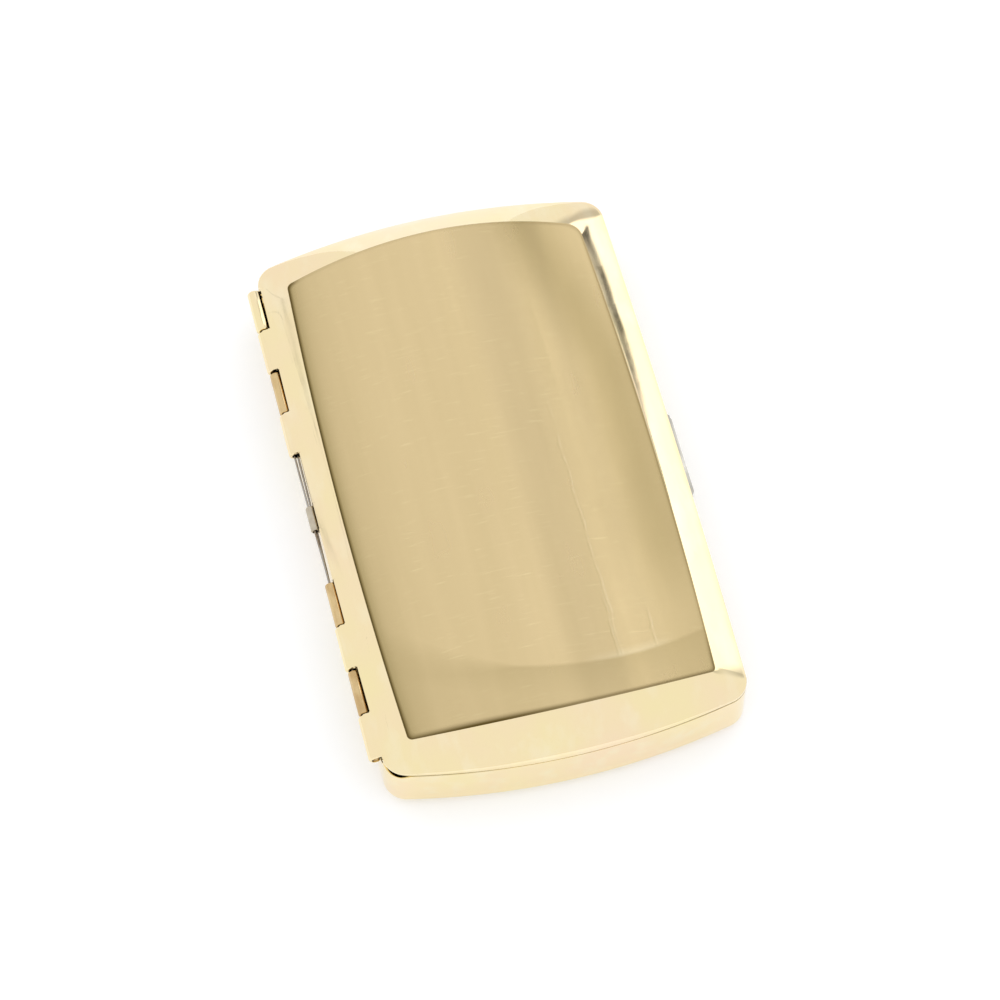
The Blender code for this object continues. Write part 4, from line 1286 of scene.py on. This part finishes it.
def eased(node_name, body, slot, finish, ease=EDGE_EASE):
    bm = bmesh.new()
    bm.from_mesh(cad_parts[node_name].data)
    bmesh.ops.remove_doubles(bm, verts=bm.verts, dist=SAME_POINT)
    flat = math.radians(FLAT_WITHIN_DEG)
    bmesh.ops.dissolve_limit(bm, angle_limit=flat, verts=bm.verts, edges=bm.edges)
    sharp = math.radians(EASE_FROM_DEG)
    corners = [edge for edge in bm.edges if edge.is_manifold and edge.calc_face_angle() > sharp]
    bmesh.ops.bevel(bm, geom=corners, offset=ease, segments=2, profile=0.5, affect="EDGES",
                    clamp_overlap=True)
    bmesh.ops.translate(bm, verts=bm.verts, vec=(-SHIFT_X, 0, 0))
    return dress(finish_mesh(f"{node_name}_eased", bm, (finish,)), body, slot, node_name)


# %% [markdown]
# ### The thumb bar
#
# The bar sticks out of its slot, so its edges are eased more than those of the parts inside.

# %% Ease the thumb bar
BAR_EASE = 0.00008

bar = eased("thumb_slide", "thumb", "bright_steel", BAR_FINISH, BAR_EASE)
print("eased", bar.name)

# %% [markdown]
# ### The leaf spring
#
# A thin bowed leaf pushes the bar out again. When the bar is pressed in, the leaf goes flat
# against the back of its channel. Here it is eased like the other small parts and gets a mesh of its own.

# %% Ease the spring and give it its own mesh
leaf = eased("latch_spring", "base", "spring_steel", STEEL)
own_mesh(leaf)

# %% [markdown]
# ### The folded brass
#
# The channel, its cover and rivets, the tongue under the lid and the clips of the band are plain
# brass. The rim guides were put in before the plating, so they are gilt like the inside.

# %% Ease the brass parts
for node_name in ("latch_bracket", "latch_cover", "latch_post_far", "latch_post_near"):
    eased(node_name, "base", "plain_brass", BRASS_FINISH)
eased("lid_catch", "lid", "plain_brass", BRASS_FINISH)
for node_name in ("rim_guide_far", "rim_guide_near", "rim_guide_side_far", "rim_guide_side_near"):
    eased(node_name, "base", "plain_brass", INSIDE)
for node_name in ("band_clip_hinge", "band_clip_latch"):
    eased(node_name, "base", "plain_brass", BRASS_FINISH)
print("eased small parts")

# %% [markdown]
# ### The elastic band
#
# The band is woven elastic: rubber cords run along it, side by side, and fine yarn is wrapped
# across them. The cords are real ribs in the mesh, because they show at the band's edge. The
# yarn is far finer, so it is a bump made of two crossed waves.

# %% Weave the band
BAND_CORDS = 11
BAND_CORD_STEPS = 8
BAND_RIB_DEPTH = 0.00009
BAND_RIB_POWER = 0.6
BAND_EDGE_SHARE = 0.55
BAND_STATIONS = 60
BAND_SHARP_DEG = 60
YARN_TAN = (0.42, 0.31, 0.19)
YARN_PALE = (0.56, 0.44, 0.29)
YARN_PITCH = 0.00028
YARN_DEPTH = 0.00003
FUZZ_DEPTH = 0.00002
WAVES_AT_SCALE_ONE = 20 / (2 * math.pi)


def elastic_web():
    material, shader, node = new_finish("elastic_web", YARN_TAN, 0, 0.85)
    place = node("ShaderNodeTexCoord").outputs["Object"]
    wave = {"Vector": place, "Scale": 1 / (YARN_PITCH * WAVES_AT_SCALE_ONE), "Distortion": 1.5, "Detail": 2}
    yarn = node("ShaderNodeTexWave", wave, wave_type="BANDS", bands_direction="X").outputs[1]
    fuzz = stretched_noise(node, 2600 * ALL_WAYS, detail=4, offset=51)
    shade = maths(node, "MULTIPLY", yarn, fuzz)
    join(mixed(node, shade, YARN_TAN, YARN_PALE), shader.inputs["Base Color"])
    join(remapped(node, fuzz, 0.78, 0.92), shader.inputs["Roughness"])
    shader.inputs["Sheen Weight"].default_value = 0.3
    over = bumped(node, yarn, YARN_DEPTH)
    join(bumped(node, fuzz, FUZZ_DEPTH, under=over), shader.inputs["Normal"])
    return material


def weave_band():
    low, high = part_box("elastic_band")
    middle_z, half_z = (low.z + high.z) / 2, (high.z - low.z) / 2
    section = []
    for k in range(BAND_CORDS * BAND_CORD_STEPS + 1):
        share = k / (BAND_CORDS * BAND_CORD_STEPS)
        rib = BAND_RIB_DEPTH * (1 - abs(math.sin(math.pi * BAND_CORDS * share)) ** BAND_RIB_POWER)
        from_edge = min(share, 1 - share) * 2 * BAND_CORDS
        edge = half_z * BAND_EDGE_SHARE * max(0, 1 - from_edge) ** 2
        section.append((low.y + (high.y - low.y) * share, half_z - rib - edge))
    around = [(y, middle_z + z) for y, z in section] + [(y, middle_z - z) for y, z in reversed(section)]
    rings = []
    for station in range(BAND_STATIONS + 1):
        x = low.x + (high.x - low.x) * station / BAND_STATIONS - SHIFT_X
        rings.append([Vector((x, y, z)) for y, z in around])
    bm = bmesh.new()
    closed_loft(bm, rings)
    made = finish_mesh("woven_band", bm, (elastic_web(),), BAND_SHARP_DEG)
    return dress(made, "base", "elastic_web", "elastic_band")


print("band faces:", len(weave_band().data.polygons))

# %% [markdown]
# ## The floor and the tent
#
# A mirror-bright case shows its surroundings more than itself. Such things are photographed in a
# tent of white cloth, so that the metal mirrors white from every side and shows its own colour.
# The floor is cool white paper. Only the tent lights it, so it keeps the soft shadow round the case.

# %% Floor
FLOOR_REACH = 3.0
FLOOR_COLOUR = (0.88, 0.90, 0.94)
FLOOR_GLOW = 0.23
FLOOR_DROP = 0.0001


def floor_finish():
    """White paper, with a little glow where the camera or the metal looks at it."""
    material, shader, node = new_finish("white_paper", FLOOR_COLOUR, 0, 0.9)
    shader.inputs["Specular IOR Level"].default_value = 0
    path = node("ShaderNodeLightPath")
    seen = path.outputs["Is Camera Ray"]
    for kind in ("Is Glossy Ray", "Is Transmission Ray"):
        seen = maths(node, "ADD", seen, path.outputs[kind])
    shader.inputs["Emission Color"].default_value = (1, 1, 1, 1)
    join(maths(node, "MULTIPLY", seen, FLOOR_GLOW), shader.inputs["Emission Strength"])
    return material


def lay_floor():
    bm = bmesh.new()
    bmesh.ops.create_grid(bm, x_segments=1, y_segments=1, size=FLOOR_REACH)
    bmesh.ops.translate(bm, verts=bm.verts, vec=(0, 0, -FLOOR_DROP))
    floor = finish_mesh("floor", bm, (floor_finish(),))
    return floor


print("laid", lay_floor().name)

# %% [markdown]
# The tent isn't even. A pale grey card hangs where the flat top of the case mirrors it. Its two
# edges slant. A dark gap lies between it and the cloth on its right, and a fine gap along its left
# edge, on the far half only. Far to the right the cloth is grey, and two seams in it are a little
# brighter.
#
# The world's direction is turned into two numbers. One is the height of a direction along the
# case. The other is its turn about the case's long axis, which a crowned lid spreads out across
# its width. Each part of the tent is then a smooth step between two values of these numbers. The
# card hangs in a strip of heights, and the grey cloth and the seams in a higher one round it.

# %% Smooth steps of a value
def step(node, value, low, high, start=0, end=1):
    """A smooth step of a value from a start level to an end level."""
    return remapped(node, value, start, end, low, high, interpolation_type="SMOOTHSTEP")


def within(node, value, rise, fall):
    """1 between a smooth rise and a smooth fall of a value, and 0 outside them."""
    return maths(node, "MULTIPLY", step(node, value, *rise), step(node, value, *fall, 1, 0))


# %% The card and what hangs beside it
CARD_LEVEL = 0.47
LEFT_EDGE = (-12.0, -150, -500, -0.04, 1)  # turn, slope, bend, and the rises between which it slants
RIGHT_EDGE = (25.9, 359, -3383, -0.004, 0.05)
EDGE_SOFT_DEG = 0.6
CARD_SHADE = (-2, 18, 0, -0.24)  # two turns and the shade at each
GAP_DEG = 0.95
LEFT_GAP = -0.42
LEFT_GAP_HALF_DEG = 0.35
LEFT_GAP_FROM = (0.46, 0.475)  # heights between which it comes in
RIGHT_CLOTH = 0.62
RIGHT_CLOTH_FADE = (37, 60, 1, 0.6)  # two turns and the share at each


def card_edge(node, along, start, slope, bend, low, high):
    """The turn of a slanting edge of the card, for a direction's height along the case."""
    rise = maths(node, "MAXIMUM", maths(node, "SUBTRACT", along, CARD_LEVEL), low)
    rise = maths(node, "MINIMUM", rise, high)
    return maths(node, "MULTIPLY_ADD", maths(node, "MULTIPLY_ADD", rise, bend, slope), rise, start)


def hung_in_strip(node, along, turn, past):
    """What the card, the gap on its left and the cloth on its right add to the level."""
    before = maths(node, "SUBTRACT", card_edge(node, along, *LEFT_EDGE), turn)
    inside = step(node, maths(node, "MAXIMUM", past, before), 0, EDGE_SOFT_DEG, 1, 0)
    card = maths(node, "MULTIPLY", step(node, turn, *CARD_SHADE), inside)
    gap = step(node, maths(node, "ABSOLUTE", before), 0, LEFT_GAP_HALF_DEG, LEFT_GAP, 0)
    gap = maths(node, "MULTIPLY", gap, step(node, along, *LEFT_GAP_FROM))
    cloth = step(node, past, GAP_DEG, GAP_DEG + EDGE_SOFT_DEG, 0, RIGHT_CLOTH)
    cloth = maths(node, "MULTIPLY", cloth, step(node, turn, *RIGHT_CLOTH_FADE))
    return maths(node, "ADD", maths(node, "ADD", card, gap), cloth)


print("the card is", round(RIGHT_EDGE[0] - LEFT_EDGE[0], 1), "degrees wide")

# %% The tent
GAP_FADE = (0.3 * GAP_DEG, 0.8 * GAP_DEG)
RIGHT_GAP = -0.95
RIGHT_GREY = -0.35
GREY_TURNS = ((22, 44), (50, 64))  # where the grey cloth comes in and goes out
STRIP = ((0.38, 0.42), (0.56, 0.61))
HIGH_STRIP = ((0.24, 0.34), (0.66, 0.80))
SEAMS = ((9, 5, 0.16), (28, 7, 0.20))  # turn, reach and strength


def tent():
    world = bpy.data.worlds.new("tent")
    bpy.context.scene.world = world
    world.use_nodes = True
    node = node_maker(world.node_tree)
    direction = node("ShaderNodeTexCoord").outputs["Generated"]
    across, along, up = node("ShaderNodeSeparateXYZ", {0: direction}).outputs
    turn = maths(node, "DEGREES", maths(node, "ARCTAN2", across, up))
    past = maths(node, "SUBTRACT", turn, card_edge(node, along, *RIGHT_EDGE))
    strip = within(node, along, *STRIP)
    high = within(node, along, *HIGH_STRIP)
    grey = maths(node, "MULTIPLY", within(node, turn, *GREY_TURNS), RIGHT_GREY)
    grey = maths(node, "MULTIPLY", maths(node, "MULTIPLY", grey, high), maths(node, "SUBTRACT", 1, strip))
    hung = hung_in_strip(node, along, turn, past)
    level = maths(node, "MULTIPLY_ADD", hung, strip, maths(node, "ADD", grey, 1))
    off = maths(node, "ABSOLUTE", maths(node, "SUBTRACT", past, GAP_DEG / 2))
    gap = step(node, off, *GAP_FADE, RIGHT_GAP, 0)
    from_strip = maths(node, "MULTIPLY", step(node, along, *STRIP[0]), level)
    level = maths(node, "MULTIPLY_ADD", gap, from_strip, level)
    for middle, reach, strength in SEAMS:
        away = maths(node, "ABSOLUTE", maths(node, "SUBTRACT", turn, middle))
        level = maths(node, "MULTIPLY_ADD", step(node, away, 0, reach, strength, 0), high, level)
    seen = node("ShaderNodeLightPath").outputs["Is Camera Ray"]
    level = maths(node, "ADD", seen, maths(node, "MULTIPLY", maths(node, "SUBTRACT", 1, seen), level))
    background = world.node_tree.nodes["Background"]
    background.inputs["Color"].default_value = (1, 1, 1, 1)
    join(level, background.inputs["Strength"])


tent()
print("tent with", len(SEAMS), "seams")
